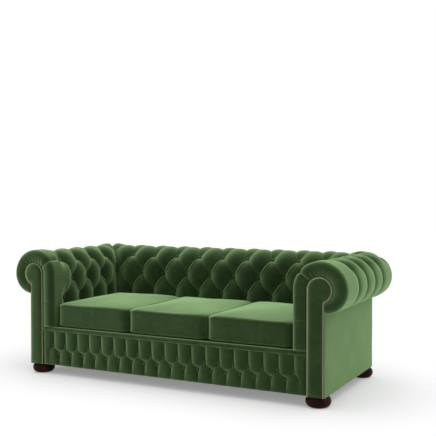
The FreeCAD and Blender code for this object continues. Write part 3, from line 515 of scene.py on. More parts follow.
def cover_height(u_true, run, room, pitch, valley, tuck_side):
    """Height of the buttoned cover over the bottom of its dimples, in metres. room is the way left to the
    mitre, and tuck_side is the side of a pleat that its tuck lies on."""
    v = np.interp(run, ROW_RUNS, ROWS)
    u = np.maximum(u_true, 0) if tuck_side < 0 else np.abs(u_true)
    height = pillow(u, v, valley)
    line = u_true - tuck_side * v / 2
    beside = (line * tuck_side) % 1 * pitch * ACROSS_PLEAT
    tuck = np.exp(-((beside - TUCK_OFFSET) / TUCK_WIDTH) ** 2)
    other = np.abs(np.sin(math.pi * (u_true + tuck_side * v / 2)))
    tuck = tuck * smooth(other, 0.25, 0.7) * (smooth(v, 0, 0.3) * (1 - smooth(v, 2.7, 3)))
    if tuck_side < 0:
        height = height + (1 - height) * smooth(-u_true, 0, FRONT_REST)
        tuck = tuck * (1 - smooth(-u_true, -0.3, 0))
    height = height ** np.interp(run, [ROW_RUNS[3], ROW_RUNS[3] + 0.05], [1, FALL_ROUND])
    height = 1 - (1 - height) * straight_share(run)
    share = np.clip(room / MITRE_EASE, 0, 1)
    rise = (1 - (1 - share) ** 2) ** MITRE_ROUND
    base = valley_height(run)
    return TUFT_DEPTH * (base + (height - base) * rise) + TUCK_HEIGHT * tuck * rise


def face_outwards(piece):
    """Turns the faces of a closed piece to point out of it."""
    select_only(piece)
    bpy.ops.object.mode_set(mode="EDIT")
    bpy.ops.mesh.select_all(action="SELECT")
    bpy.ops.mesh.normals_make_consistent(inside=False)
    bpy.ops.object.mode_set(mode="OBJECT")


def wrapped(name, across, around, place, falls=None):
    """A closed pad: a grid whose rows go round it in a loop, capped at both ends. place turns the numbers
    of the columns (from across) and of the rows into corners. falls tells which way they split each face."""
    piece = primitive(name, bpy.ops.mesh.primitive_grid_add, x_subdivisions=len(across) - 1,
                      y_subdivisions=around, size=1)
    grid = corners(piece) + 0.5
    column = np.rint(grid[:, 0] * (len(across) - 1)).astype(int)
    placed = place(across[column], np.rint(grid[:, 1] * around).astype(int) % around)
    if falls:
        middles = np.array([face.center for face in piece.data.polygons]) + 0.5
        column = (middles[:, 0] * (len(across) - 1)).astype(int)
        split = falls((across[column] + across[column + 1]) / 2, (middles[:, 1] * around).astype(int))
        pick(piece, "polygons", split)
        bpy.ops.mesh.quads_convert_to_tris(quad_method="FIXED_ALTERNATE")
        bpy.ops.object.mode_set(mode="OBJECT")
    move_corners(piece, placed)
    select_only(piece)
    bpy.ops.object.mode_set(mode="EDIT")
    bpy.ops.mesh.select_all(action="SELECT")
    bpy.ops.mesh.quads_convert_to_tris(quad_method="FIXED")
    bpy.ops.mesh.remove_doubles(threshold=WELD)
    bpy.ops.mesh.dissolve_degenerate(threshold=WELD)
    bpy.ops.mesh.select_all(action="SELECT")
    bpy.ops.mesh.fill_holes(sides=0)
    bpy.ops.object.mode_set(mode="OBJECT")
    face_outwards(piece)
    return piece


seam_run = SEAM_Z - roll_z
cover_runs = np.array(
    [*np.linspace(deck_z - roll_z, seam_run - SEAM_HALF, 10), seam_run, seam_run + SEAM_HALF]
    + [np.interp(step / STEPS, ROWS, ROW_RUNS) for step in range(3 * STEPS + 1)]
    + list(np.linspace(ROW_RUNS[3], roll_end, OUTSIDE_ROWS))[1:])
hidden_rows = np.array([(timber_s, roll_z - under_roll), (timber_s, post_high.z), (inside_s, post_high.z),
                        (inside_s, deck_z)])
row_count = len(cover_runs) + len(hidden_rows)


def tuft_split(u, row):
    """Whether the nearest pleat to a face falls as u grows, for the faces between two rows of the cover."""
    ends = [cover_runs[np.minimum(row + step, len(cover_runs) - 1)] for step in (0, 1)]
    v = np.interp((ends[0] + ends[1]) / 2, ROW_RUNS, ROWS)
    return np.abs(np.sin(math.pi * (u + v / 2))) < np.abs(np.sin(math.pi * (u - v / 2)))


def padded_section(along_of, turn_corner, columns, name):
    """A buttoned pad: along_of gives (along, s, z) of the cover's corners, and turn_corner places them."""

    def place(u, row):
        run = cover_runs[np.minimum(row, len(cover_runs) - 1)]
        hidden = hidden_rows[np.clip(row - len(cover_runs), 0, len(hidden_rows) - 1)]
        shown = turn_corner(*along_of(u, run))
        inner = turn_corner(*along_of(u, None, hidden[:, 0], hidden[:, 1]))
        return np.where((row < len(cover_runs))[:, None], shown, inner)

    return wrapped(name, columns, row_count, place, tuft_split)


def back_along(u, run, inner_s=None, inner_z=None):
    """(along, s, z) of corners of the back's cover at u, in button spacings from the middle."""
    if run is None:
        reach = roll_x + room_along(inner_s)
        return np.clip(u * BACK_PITCH, -reach, reach), inner_s, inner_z
    s, z, out_s, out_z = section(run)
    reach = roll_x + room_along(s)
    along = np.clip(u * BACK_PITCH, -reach, reach)
    room = reach - np.abs(along)
    depth = TUFT_DEPTH - cover_height(along / BACK_PITCH, run, room, BACK_PITCH, BACK_VALLEY, 1)
    s, z = s - out_s * depth, z - out_z * depth
    shift = roll_x + room_along(s) - reach
    return along + np.sign(along) * shift * (1 - smooth(room, 0, CORNER_EASE)), s, z


def round_corner(along, s, z):
    """Places on the back from (along, s, z): straight between the corners, and turned about them."""
    past = np.maximum(np.abs(along) - roll_x, 0)
    turn = np.where(s > 0, past / np.maximum(s, 1e-6), 0)
    x = np.sign(along) * (np.minimum(np.abs(along), roll_x) + s * np.sin(turn))
    return np.stack([x, roll_y + s * np.cos(turn), z], 1)


most = math.ceil((roll_x + ROLL * math.pi / 4) / BACK_PITCH * 2 * STEPS)
back_columns = np.arange(-most, most + 1) / (2 * STEPS)
back_cover = padded_section(back_along, round_corner, back_columns, "back_cover")
velvet_cover = velvet("velvet")
fit_out(back_cover, "sofa", "back_pad", velvet_cover)

ARM_LENGTH = roll_y - facing_y
ARM_PITCH = 0.150
ARM_FIRST = 0.148
ARM_VALLEY = 3.5
FRONT_SHEET = 1000
FRONT_COLUMNS = 25
FRONT_ROUND = 0.030
FRONT_BULGE = 0.010
FRONT_SINK = 0.016
ROUNDING = 0.4
FAN_TURNS = [math.radians(turn) for turn in (56, 70, 83, 98, 114, 131)]
FAN_DEPTH = 0.006
FAN_WIDTH = 0.03
MITRE_TURN = math.radians(38)
MITRE_DEPTH = 0.014
MITRE_WIDTH = 0.009
SEAM_DEPTH = 0.0035
SEAM_WIDTH = 0.0018


def arm_along(u, run, inner_s=None, inner_z=None):
    """(along, s, z) of corners of the right arm's cover at u, in button spacings from its first button.
    Columns past its front edge are given as FRONT_SHEET less a share: 1 at the edge of the facing, 0 where
    the rounding starts."""
    front = u > FRONT_SHEET / 2
    share = np.where(front, FRONT_SHEET - u, 0)
    along = np.where(front, 0, ARM_FIRST + u * ARM_PITCH)
    if run is None:
        return np.clip(along, post_low.y - facing_y, ARM_LENGTH + room_along(inner_s)), inner_s, inner_z
    start = FRONT_ROUND - FRONT_BULGE
    s, z, out_s, out_z = section(run)
    reach = ARM_LENGTH + room_along(s)
    along = np.minimum(along, reach)
    room = np.where(front, 1, reach - along)
    u_true = np.where(front, (start - ARM_FIRST) / ARM_PITCH, (along - ARM_FIRST) / ARM_PITCH)
    depth = TUFT_DEPTH - cover_height(u_true, run, room, ARM_PITCH, ARM_VALLEY, -1)
    crease = np.exp(-np.abs(run - ROLL * MITRE_TURN) / MITRE_WIDTH) * (1 - smooth(u_true, -0.15, 0))
    depth = depth + MITRE_DEPTH * crease * (1 - 0.5 * smooth(share, ROUNDING, 1))
    turn = np.clip(share / ROUNDING, 0, 1) * math.pi / 2
    flat = np.clip((share - ROUNDING) / (1 - ROUNDING), 0, 1)
    edge_s, edge_z = facing_edge(run)
    gap = np.hypot(edge_s - s, edge_z - z)
    part = (FRONT_ROUND * (1 - np.cos(turn)) + (gap - FRONT_ROUND) * flat) / gap
    fan = sum(np.exp(-np.abs(run / ROLL - turned) / FAN_WIDTH) for turned in FAN_TURNS)
    depth = depth + FAN_DEPTH * fan * smooth(flat, 0, 0.6) * (1 - 0.6 * smooth(flat, 0.6, 1))
    seam = np.exp(-((run - seam_run) / SEAM_WIDTH) ** 2)
    depth = depth + SEAM_DEPTH * seam * smooth(share, 0.1, ROUNDING)
    sunk = FRONT_SINK * flat ** 2.5
    outward = np.cos(turn) * (1 - flat) * depth
    s = s + (edge_s - s) * part - out_s * outward
    z = z + (edge_z - z) * part - out_z * outward
    along = np.where(front, start - FRONT_ROUND * np.sin(turn) + sunk + depth * np.sin(turn), along)
    shift = ARM_LENGTH + room_along(s) - reach
    return along + np.where(front, 0, shift * (1 - smooth(room, 0, CORNER_EASE))), s, z


def round_arm(along, s, z):
    """Places on the right arm from (along, s, z): straight from the facing, turned about the back corner."""
    past = np.maximum(along - ARM_LENGTH, 0)
    turn = np.where(s > 0, past / np.maximum(s, 1e-6), 0)
    y = facing_y + np.minimum(along, ARM_LENGTH) + s * np.sin(turn)
    return np.stack([roll_x + s * np.cos(turn), y, z], 1)


front_columns = FRONT_SHEET - np.linspace(1, 0.04, FRONT_COLUMNS)
first = math.floor((FRONT_ROUND - FRONT_BULGE - ARM_FIRST) / ARM_PITCH * 2 * STEPS)
last = math.ceil((ARM_LENGTH + ROLL * math.pi / 4 - ARM_FIRST) / ARM_PITCH * 2 * STEPS)
arm_columns = np.concatenate([front_columns, np.arange(first + 1, last + 1) / (2 * STEPS)])
right_arm = padded_section(arm_along, round_arm, arm_columns, "right_arm_cover")


def own_copy(piece):
    """A copy of a piece in the scene, with its own mesh."""
    twin = piece.copy()
    twin.data = piece.data.copy()
    bpy.context.scene.collection.objects.link(twin)
    return twin


def mirror_of(piece, name):
    """The left hand copy of a right hand piece, with its faces turned to point out again."""
    twin = own_copy(piece)
    twin.name = name
    twin.data.transform(Matrix.Diagonal((-1, 1, 1, 1)))
    twin.data.flip_normals()
    return twin


left_arm = mirror_of(right_arm, "left_arm_cover")
for hand, piece in (("right", right_arm), ("left", left_arm)):
    fit_out(piece, "sofa", f"{hand}_arm_pad", velvet_cover)

# Buttons: domed metal buttons covered in the same velvet, each drawn down into its dimple by a string that
# goes through the padding.
BUTTON_RADIUS = 0.010
BUTTON_RISE = 0.004
BUTTON_SIDES = 14
BUTTON_DOME = ((0.0012, 0.0014), (0.0022, 0.0012), (0.003, 0.0007))
BUTTON_LIFT = 0.005
BUTTON_TIPS = (128, 162, 108)
button = primitive("one_button", bpy.ops.mesh.primitive_cylinder_add, vertices=BUTTON_SIDES,
                   radius=BUTTON_RADIUS, depth=BUTTON_RISE)
pick(button, "polygons", [face.normal.z > 0.9 for face in button.data.polygons])
for narrower, higher in BUTTON_DOME:
    bpy.ops.mesh.inset(thickness=narrower, depth=higher)
bpy.ops.object.mode_set(mode="OBJECT")
button_velvet = velvet("button_velvet", tips=BUTTON_TIPS)


def joined(pieces, name):
    """Several pieces made one, under a name."""
    select_only(pieces[0])
    for piece in pieces:
        piece.select_set(True)
    bpy.ops.object.join()
    pieces[0].name = name
    return pieces[0]


def sewn_buttons(name, node, spots):
    """One node's buttons. spots holds the bottom of each dimple and the way out of it."""
    placed = []
    for bottom, way in spots:
        one = own_copy(button)
        turn = Vector(way).to_track_quat("Z", "Y").to_matrix().to_4x4()
        lifted = Vector(bottom) + Vector(way).normalized() * BUTTON_LIFT
        one.data.transform(Matrix.Translation(lifted) @ turn)
        placed.append(one)
    fit_out(joined(placed, name), "sofa", node, button_velvet, crisp=True)


def tuft_spots(full, half, valley, place_of, valley_of):
    """The bottom of each dimple and the way out of it. full and half are the places along the even and odd
    rows; from valley on, the second row has none, because it ends in the mitre."""
    spots = []
    for row, run in enumerate(ROW_RUNS):
        s, z, out_s, out_z = (float(n) for n in section(run))
        bottom = (s - out_s * TUFT_DEPTH, z - out_z * TUFT_DEPTH, out_s, out_z)
        for along in full if row % 2 == 0 else half:
            if row != 1 or abs(along) < valley:
                spots.append(place_of(along, *bottom))
        if row in (1, 2):
            spots += valley_of(*bottom)
    return spots


def on_back(along, s, z, out_s, out_z):
    return (along, roll_y + s, z), (0, out_s, out_z)


def in_valleys(s, z, out_s, out_z):
    return [((hand * (roll_x + s), roll_y + s, z), (hand * out_s, out_s, out_z)) for hand in (-1, 1)]


sewn_buttons("back_button_set", "back_buttons", tuft_spots(
    [BACK_PITCH * k for k in range(-4, 5)], [BACK_PITCH * (k - 4.5) for k in range(10)],
    BACK_PITCH * (BACK_VALLEY - 0.1), on_back, in_valleys))
for hand, side in (("right", 1), ("left", -1)):
    def on_arm(along, s, z, out_s, out_z):
        return (side * (roll_x + s), facing_y + along, z), (side * out_s, 0, out_z)

    sewn_buttons(f"{hand}_arm_button_set", f"{hand}_arm_buttons", tuft_spots(
        [ARM_FIRST + ARM_PITCH * k for k in range(4)],
        [ARM_FIRST + ARM_PITCH * (k + 0.5) for k in range(4)],
        ARM_FIRST + ARM_PITCH * (ARM_VALLEY - 0.1), on_arm, lambda *_: []))

# Front border: a strip of padding on the front rail under the same velvet, with two rows of small buttons.
# Straight pleats run up from the upper row and down from the lower one, and meet in points between them.
BORDER_PITCH = 0.085
BORDER_UPPER = 0.175
BORDER_LOWER = 0.130
BORDER_DEPTH = 0.015
BORDER_PROUD = 0.004
BORDER_ROUND = 0.010
BORDER_LAST = 9
BORDER_STEPS = 24
BORDER_END = 0.018
BORDER_END_SINK = 0.007
BUTTON_SINK = 0.001
low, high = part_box("front_border")
rise = np.linspace(0, 1, 21)
between_rows = BORDER_LOWER + (BORDER_UPPER - BORDER_LOWER) * (0.5 - np.sin(np.arcsin(1 - 2 * rise) / 3))
arc = np.linspace(0, math.pi / 2, 6)
border_rows = np.array(
    [(high.y, low.z), (low.y + 2 * BORDER_ROUND, low.z)]
    + [(low.y + BORDER_ROUND * (1 - math.sin(t)), low.z + BORDER_ROUND * (1 - math.cos(t))) for t in arc]
    + [(low.y, z) for z in np.linspace(low.z + BORDER_ROUND, BORDER_LOWER, 13)[1:-1]]
    + [(low.y, z) for z in between_rows]
    + [(low.y, z) for z in np.linspace(BORDER_UPPER, high.z, 17)[1:]]
    + [(high.y, high.z)])


def border_waves(u, z):
    """Where a place lies between the pleats that lean one way, and between those that lean the other way: 0
    on a pleat, and 1 half way to the next."""
    climb = smooth(z, BORDER_LOWER, BORDER_UPPER)
    return np.abs(np.cos(math.pi * (u + climb / 2))), np.abs(np.cos(math.pi * (u - climb / 2)))


def border_place(u, row):
    y, z = border_rows[row, 0], border_rows[row, 1]
    a, b = border_waves(u, z)
    pleat = a ** 0.8 + b ** 0.8 - (a * b) ** 0.8
    height = 0.6 * pleat + 0.4 * (a * b) ** 0.45
    plain = smooth(np.abs(u), BORDER_LAST + 0.15, BORDER_LAST + 0.5)
    height = height + (1 - height) * plain
    deep = np.interp(z, [low.z, low.z + 0.03, BORDER_LOWER, BORDER_UPPER, high.z - 0.02, high.z],
                     [0.25, 0.6, 1, 1, 0.75, 0.6])
    edge = smooth(high.x - np.abs(u) * BORDER_PITCH, 0, BORDER_END)
    front = BORDER_DEPTH * deep * (1 - height) - BORDER_PROUD * height * smooth(z, low.z, low.z + 0.05)
    front = front + BORDER_END_SINK * (1 - edge)
    shown = y < low.y + BORDER_ROUND * 1.5
    return np.stack([u * BORDER_PITCH, y + np.where(shown, front, 0), z], 1)


def border_split(u, row):
    a, b = border_waves(u, border_rows[np.minimum(row, len(border_rows) - 1), 1] + 0.001)
    return a < b


border_half = high.x / BORDER_PITCH
most = math.floor(border_half * BORDER_STEPS)
border_columns = [[-border_half], np.arange(-most, most + 1) / BORDER_STEPS, [border_half]]
border_cover = wrapped("border_cover", np.concatenate(border_columns), len(border_rows), border_place,
                       border_split)
fit_out(border_cover, "sofa", "front_border", velvet_cover)
sewn_buttons("border_button_set", "border_buttons", [
    ((BORDER_PITCH * (k + step), low.y + BORDER_DEPTH - BUTTON_SINK, z), (0, -1, 0))
    for step, z, count in ((0, BORDER_UPPER, 2 * BORDER_LAST + 1), (0.5, BORDER_LOWER, 2 * BORDER_LAST))
    for k in range(-BORDER_LAST, count - BORDER_LAST)])

# Seat lip: a thin roll of stuffing along the front edge of the deck, covered with a strip of the velvet that
# is tacked to the front rail.
LIP_SIDES = 20
LIP_COLUMNS = 161
LIP_SQUARE = 3.2
LIP_WAVE = 0.0007
low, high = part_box("seat_lip")
lip_middle, lip_half = (low + high) / 2, (high - low) / 2


def lip_place(x, row):
    turn = row * 2 * math.pi / LIP_SIDES
    side = (np.abs(np.cos(turn)) ** LIP_SQUARE + np.abs(np.sin(turn)) ** LIP_SQUARE) ** (-1 / LIP_SQUARE)
    wave = np.where(np.cos(turn) < 0, LIP_WAVE * (np.sin(x * 37) + np.sin(x * 61 + 1)), 0)
    y = lip_middle.y + np.cos(turn) * side * (lip_half.y - LIP_WAVE * 2) + wave
    return np.stack([x, y, lip_middle.z + np.sin(turn) * side * lip_half.z], 1)


lip_roll = wrapped("seat_lip_roll", np.linspace(low.x, high.x, LIP_COLUMNS), LIP_SIDES, lip_place)
fit_out(lip_roll, "sofa", "seat_lip", velvet_cover)

# Arm facings: a shaped board padded and covered in velvet, on the front of each scroll board, edged with a
# close row of domed brass nails.
FACING_PUFF = (
    (0.0015, 0.0009), (0.007, 0.0005), (0.003, 0.003), (0.005, 0.0027), (0.008, 0.002), (0.010, 0.0009))
right_front = bpy.data.objects.new("right_facing_cover", nodes["right_facing"].data.copy())
bpy.context.scene.collection.objects.link(right_front)
select_only(right_front)
bpy.ops.object.mode_set(mode="EDIT")
bpy.ops.mesh.select_all(action="SELECT")
bpy.ops.mesh.remove_doubles(threshold=WELD / 2)
bpy.ops.mesh.dissolve_limited(angle_limit=math.radians(0.5))
bpy.ops.object.mode_set(mode="OBJECT")
pick(right_front, "polygons", [face.normal.y < -0.99 for face in right_front.data.polygons])
for narrower, higher in FACING_PUFF:
    bpy.ops.mesh.inset(thickness=narrower, depth=higher)
bpy.ops.mesh.select_all(action="SELECT")
bpy.ops.mesh.quads_convert_to_tris()
bpy.ops.object.mode_set(mode="OBJECT")
left_front = mirror_of(right_front, "left_facing_cover")
for hand, piece in (("right", right_front), ("left", left_front)):
    fit_out(piece, "sofa", f"{hand}_facing", velvet_cover, crisp=True)
# Nail heads are pale where the crown faces straight forward and dark where the surface turns away round the
# rim. This is partly rubbed brass and tarnish, and partly a painted highlight on each crown and painted shade
# round its rim.
BRASS_RUBBED_HIGHLIGHT = (222, 208, 176)
BRASS_TARNISH_SHADE = (52, 42, 28)
brass = Finish("antique_brass", {"Metallic": 1.0})
facing_front = brass.node("SeparateXYZ", {}, {"Vector": brass.node("NewGeometry", output="Normal")}, "Y")
mottled = brass.noise(160, 3)
rim_tarnish_and_shade = brass.spread(facing_front + mottled * 0.06, -0.95, -0.8)
dress(brass.wear(
    base_color=brass.mix(rim_tarnish_and_shade, shade(*BRASS_RUBBED_HIGHLIGHT), shade(*BRASS_TARNISH_SHADE)),
    roughness=0.34 + rim_tarnish_and_shade * 0.3), ["left_facing_nails", "right_facing_nails"])

# Outside panels: board covered with a thin layer of felt and the velvet, tacked under the rolls and along the
# edges of the frame.
PANEL_PROUD = 0.0015
PANEL_BEVEL = 0.004
PANEL_CUTS = 16
PANEL_SOFT = 0.02
PANEL_WAVE = 0.0004
PANEL_TOP = 0.001
LAP = 0.0004
NAP = 0.0008


def covered_panel(name, node, lap_front):
    """A covered panel in the place of a CAD panel, a little proud of it, with softly rounded edges.
    lap_front is how far its cloth laps forward over the edge of the scroll board."""
    low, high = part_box(node)
    size = high - low
    side = 1 if (low + high).x > 1e-3 else -1 if (low + high).x < -1e-3 else 0
    thin = 0 if side else 1
    wide = 1 - thin
    half = Vector((0.5, 0.5, 0.5))
    piece = soft_block(name, -half, half, PANEL_BEVEL, PANEL_CUTS, segments=2)
    at = corners(piece) + 0.5
    if side < 0:
        at[:, 0] = 1 - at[:, 0]
    out = at[:, thin]
    placed = np.zeros_like(at)
    placed[:, wide] = low[wide] - lap_front + at[:, wide] * (size[wide] + lap_front)
    placed[:, 2] = low.z + at[:, 2] * (size.z + PANEL_TOP)
    near = np.minimum(*(np.minimum(at[:, i], 1 - at[:, i]) * size[i] for i in (wide, 2)))
    wave = PANEL_WAVE * np.sin(placed[:, wide] * 21) * np.sin(placed[:, 2] * 27)
    swell = PANEL_PROUD * smooth(near, 0, PANEL_SOFT) + wave
    inner, outer = (low[thin], high[thin]) if side >= 0 else (-high[thin], -low[thin])
    over_board = placed[:, wide] < low[wide]
    under = np.where(over_board & (lap_front > 0), outer + LAP, inner)
    placed[:, thin] = under + out * (outer + LAP + NAP + swell * (out > 0.5) - under)
    if side < 0:
        placed[:, 0] = -placed[:, 0]
    move_corners(piece, placed)
    face_outwards(piece)
    fit_out(piece, "sofa", node, velvet_cover)


board_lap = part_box("right_side_panel")[0].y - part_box("right_scroll_board")[0].y
for hand in ("right", "left"):
    covered_panel(f"{hand}_side_cover", f"{hand}_side_panel", board_lap)
covered_panel("back_outside_cover", "back_panel", 0)

# Seat cushions: a foam core wrapped in fibre, in a boxed velvet cover that is piped along its top and bottom
# seams and lies loose on the deck. The cover is filled out by the pressure of the wrap inside it.
CUSHION_SHRINK = (0.0035, 0.004)
CUSHION_BASE = 0.0015
CUSHION_START = 0.135
CUSHION_CORNER = 0.034
CUSHION_EDGE = 0.008
CUSHION_VOXEL = 0.0065
CORNER_DIP = 0.16
CUSHION_FILL = 0.026
CUSHION_CROWN = 0.22
CROWN_ROUND = 1.7
CUSHION_PRESSURE = 4.0
CUSHION_FRAMES = 20
CUSHION_CAP = 0.008
CUSHION_RIPPLE = 0.0022
SEAM_HOLD = 0.009
SEAM_REACH = 0.1
TOP_LEAN, BOTTOM_LEAN = 0.8, -0.2
PIPING_RADIUS = 0.0034
PIPING_PROUD = 0.35
PIPING_STEPS = 360
PIPING_SIDES = 8
FOAM_EDGE = 0.012
WRAP_GAP = 0.0004
FOAM_PALE = (238, 226, 190)
FOAM_DARK = (214, 198, 156)
CUSHION_TIPS = (162, 200, 140)
foam = Finish("foam", {"Specular IOR Level": 0.1})
cells = foam.noise(700, 3)
foam_finish = foam.wear(
    base_color=foam.mix(foam.spread(cells, 0.35, 0.65), shade(*FOAM_DARK), shade(*FOAM_PALE)),
    roughness=0.8 + cells * 0.15,
    normal=foam.bump(cells, 0.0006))
low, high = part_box("centre_cushion_cover")
middle = (low + high) / 2
shrink_x, shrink_y = CUSHION_SHRINK
start_low = Vector((low.x + shrink_x, low.y + shrink_y, low.z + CUSHION_BASE))
start_high = Vector((high.x - shrink_x, high.y - shrink_y, low.z + CUSHION_BASE + CUSHION_START))
half_x, half_y = start_high.x - middle.x, start_high.y - middle.y
waist = (start_low.z + start_high.z) / 2


def dipped(x, y, z):
    """The height of a point of the cushion with its corners drawn in: lower on top, higher underneath."""
    near_x = smooth(np.abs(x - middle.x) / half_x, 0.78, 1.03)
    corner = near_x * smooth(np.abs(y - middle.y) / half_y, 0.82, 1.03)
    return waist + (z - waist) * (1 - CORNER_DIP * corner * np.where(z > waist, 1, 0.5))


def inside_edge(x, y):
    """How far a point lies inside the rounded outline of the cushion."""
    past_x = np.abs(x - middle.x) - half_x + CUSHION_CORNER
    past_y = np.abs(y - middle.y) - half_y + CUSHION_CORNER
    return CUSHION_CORNER - np.hypot(np.maximum(past_x, 0), np.maximum(past_y, 0)) - np.minimum(
        np.maximum(past_x, past_y), 0)


bag = block("cushion_bag", start_low, start_high)
edge_ends = [[bag.data.vertices[i].co.z for i in edge.vertices] for edge in bag.data.edges]
pick(bag, "edges", [abs(a - b) > 1e-4 for a, b in edge_ends])
bpy.ops.mesh.bevel(offset=CUSHION_CORNER, segments=6, affect="EDGES")
bpy.ops.object.mode_set(mode="OBJECT")
pick(bag, "polygons", [abs(face.normal.z) > 0.9 for face in bag.data.polygons])
bpy.ops.mesh.region_to_loop()
bpy.ops.mesh.bevel(offset=CUSHION_EDGE, segments=3, affect="EDGES")
bpy.ops.object.mode_set(mode="OBJECT")
finished_with(bag, "REMESH", {"mode": "VOXEL", "voxel_size": CUSHION_VOXEL})
flat_bag = corners(bag)
inside = inside_edge(flat_bag[:, 0], flat_bag[:, 1])
flat_bag[:, 2] = dipped(*flat_bag.T)
away = np.minimum(np.abs(flat_bag[:, 2] - dipped(*flat_bag.T[:2], start_high.z)),
                  np.abs(flat_bag[:, 2] - dipped(*flat_bag.T[:2], start_low.z)))
crown = 1 - (1 - np.clip(inside / CUSHION_CROWN, 0, 1)) ** CROWN_ROUND
crown = np.where(flat_bag[:, 2] > waist, crown, 0)
flat_bag[:, 2] += CUSHION_FILL * crown
move_corners(bag, flat_bag)
sewn = np.nonzero((inside < SEAM_HOLD) & (away < SEAM_HOLD))[0]
bag.vertex_groups.new(name="sewn").add([int(i) for i in sewn], 1.0, "REPLACE")
select_only(bag)
cloth = bag.modifiers.new("cloth", "CLOTH")
cloth.settings.vertex_group_mass = "sewn"
cloth.settings.use_pressure = True
cloth.settings.uniform_pressure_force = CUSHION_PRESSURE
cloth.settings.effector_weights.gravity = 0
for moment in range(1, CUSHION_FRAMES + 1):
    bpy.context.scene.frame_set(moment)
bpy.ops.object.modifier_apply(modifier="cloth")
bpy.context.scene.frame_set(1)
swollen = corners(bag)
moved = swollen - flat_bag
far = np.linalg.norm(moved, axis=1, keepdims=True)
swollen = flat_bag + moved * np.minimum(1, CUSHION_CAP / np.maximum(far, 1e-9))
for axis in range(3):
    swollen[:, axis] = np.clip(swollen[:, axis], low[axis], high[axis])
move_corners(bag, swollen)
finished_with(bag, "SUBSURF", {"levels": 1})


def seam(height, lean):
    """Places along the seam at a height of the cushion, and the way out of it at each, found on the bag."""
    tree = BVHTree.FromPolygons([v.co for v in bag.data.vertices], [f.vertices for f in bag.data.polygons])
    centre_x, centre_y = half_x - CUSHION_CORNER, half_y - CUSHION_CORNER
    sides = [2 * centre_y, 2 * centre_x] * 2
    bend = CUSHION_CORNER * math.pi / 2
    bends = [(centre_x, centre_y), (-centre_x, centre_y), (-centre_x, -centre_y), (centre_x, -centre_y)]
    found = []
    for step in range(PIPING_STEPS):
        run = (sum(sides) + 4 * bend) * step / PIPING_STEPS
        side = 0
        while run >= sides[side] + bend:
            run -= sides[side] + bend
            side += 1
        turn = side * math.pi / 2 + max(run - sides[side], 0) / CUSHION_CORNER
        back = max(sides[side] - run, 0)
        out = Vector((math.cos(turn), math.sin(turn), 0))
        x = middle.x + bends[side][0] + out.x * CUSHION_CORNER + back * math.sin(turn)
        y = middle.y + bends[side][1] + out.y * CUSHION_CORNER - back * math.cos(turn)
        way = (out + Vector((0, 0, lean))).normalized()
        outside = Vector((x, y, float(dipped(x, y, height)))) + way * SEAM_REACH
        found.append((tree.ray_cast(outside, -way)[0], way))
    return found


def piping(name, line):
    """A sewn cord along a closed line on a cushion."""
    piece = primitive(name, bpy.ops.mesh.primitive_torus_add, major_segments=PIPING_STEPS,
                      minor_segments=PIPING_SIDES, major_radius=1, minor_radius=0.25)
    ring = corners(piece)
    lap = np.arctan2(ring[:, 1], ring[:, 0]) / (2 * math.pi)
    step = np.rint(lap * PIPING_STEPS).astype(int) % PIPING_STEPS
    turn = np.arctan2(ring[:, 2], np.hypot(ring[:, 0], ring[:, 1]) - 1)
    middles = np.array([hit for hit, _ in line])
    ways = np.array([way for _, way in line])
    run = np.roll(middles, -1, 0) - np.roll(middles, 1, 0)
    run /= np.linalg.norm(run, axis=1, keepdims=True)
    side = np.cross(ways, run)
    at = middles[step] + ways[step] * PIPING_RADIUS * PIPING_PROUD
    move_corners(piece, at + PIPING_RADIUS * (
        np.cos(turn)[:, None] * ways[step] + np.sin(turn)[:, None] * side[step]))
    face_outwards(piece)
    return piece


cords = [piping("top_piping", seam(start_high.z - CUSHION_EDGE / 2, TOP_LEAN)),
         piping("bottom_piping", seam(start_low.z + CUSHION_EDGE, BOTTOM_LEAN))]
cushion_velvet = velvet("cushion_velvet", tips=CUSHION_TIPS)
core_low, core_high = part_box("centre_cushion_core")
gap = Vector((WRAP_GAP, WRAP_GAP, WRAP_GAP))
for which, settle in (("left", 0.0), ("centre", 1.7), ("right", 3.1)):
    node = f"{which}_cushion_cover"
    shift = np.array((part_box(node)[0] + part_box(node)[1]) / 2 - middle)
    parts = [own_copy(source) for source in (bag, *cords)]
    hollow = soft_block("hollow", core_low - gap, core_high + gap, FOAM_EDGE, 1)
    hollow.data.flip_normals()
    cover = joined([*parts, hollow], f"{which}_cushion_bag")
    at = corners(cover)
    give = np.clip((at[:, 2] - core_high.z) / 0.02, 0, 1)
    ripple = np.sin(at[:, 0] * 13 + settle) * np.sin(at[:, 1] * 11 + 2 * settle) - 1
    at[:, 2] += CUSHION_RIPPLE * give * ripple
    move_corners(cover, at + shift)
    fit_out(cover, f"{which}_cushion", node, cushion_velvet)
    core = soft_block(f"{which}_foam_core", core_low, core_high, FOAM_EDGE, 4)
    move_corners(core, corners(core) + shift)
    fit_out(core, f"{which}_cushion", f"{which}_cushion_core", foam_finish)
for spare in (bag, button, *cords):
    bpy.data.objects.remove(spare)

# Dust cover: thin black spunbond cloth under the whole frame, stapled to the undersides of the rails and cut
# out around the plates of the feet.
SPUN_PALE = (34, 34, 36)
SPUN_DARK = (14, 14, 15)
SPUN_THREAD = 0.0007
PLATE_REACH = 0.034
feet = [f"foot_{end}_{hand}" for end in ("front", "back") for hand in ("left", "right")]
foot_middles = [(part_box(foot)[0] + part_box(foot)[1]) / 2 for foot in feet]
reach = Vector((PLATE_REACH, PLATE_REACH, 1))
spunbond = woven("spunbond", SPUN_PALE, SPUN_DARK, SPUN_THREAD)
tacked_sheet("dust_sheet", "dust_cover", spunbond, 0.0,
             [(foot_middle - reach, foot_middle + reach) for foot_middle in foot_middles])

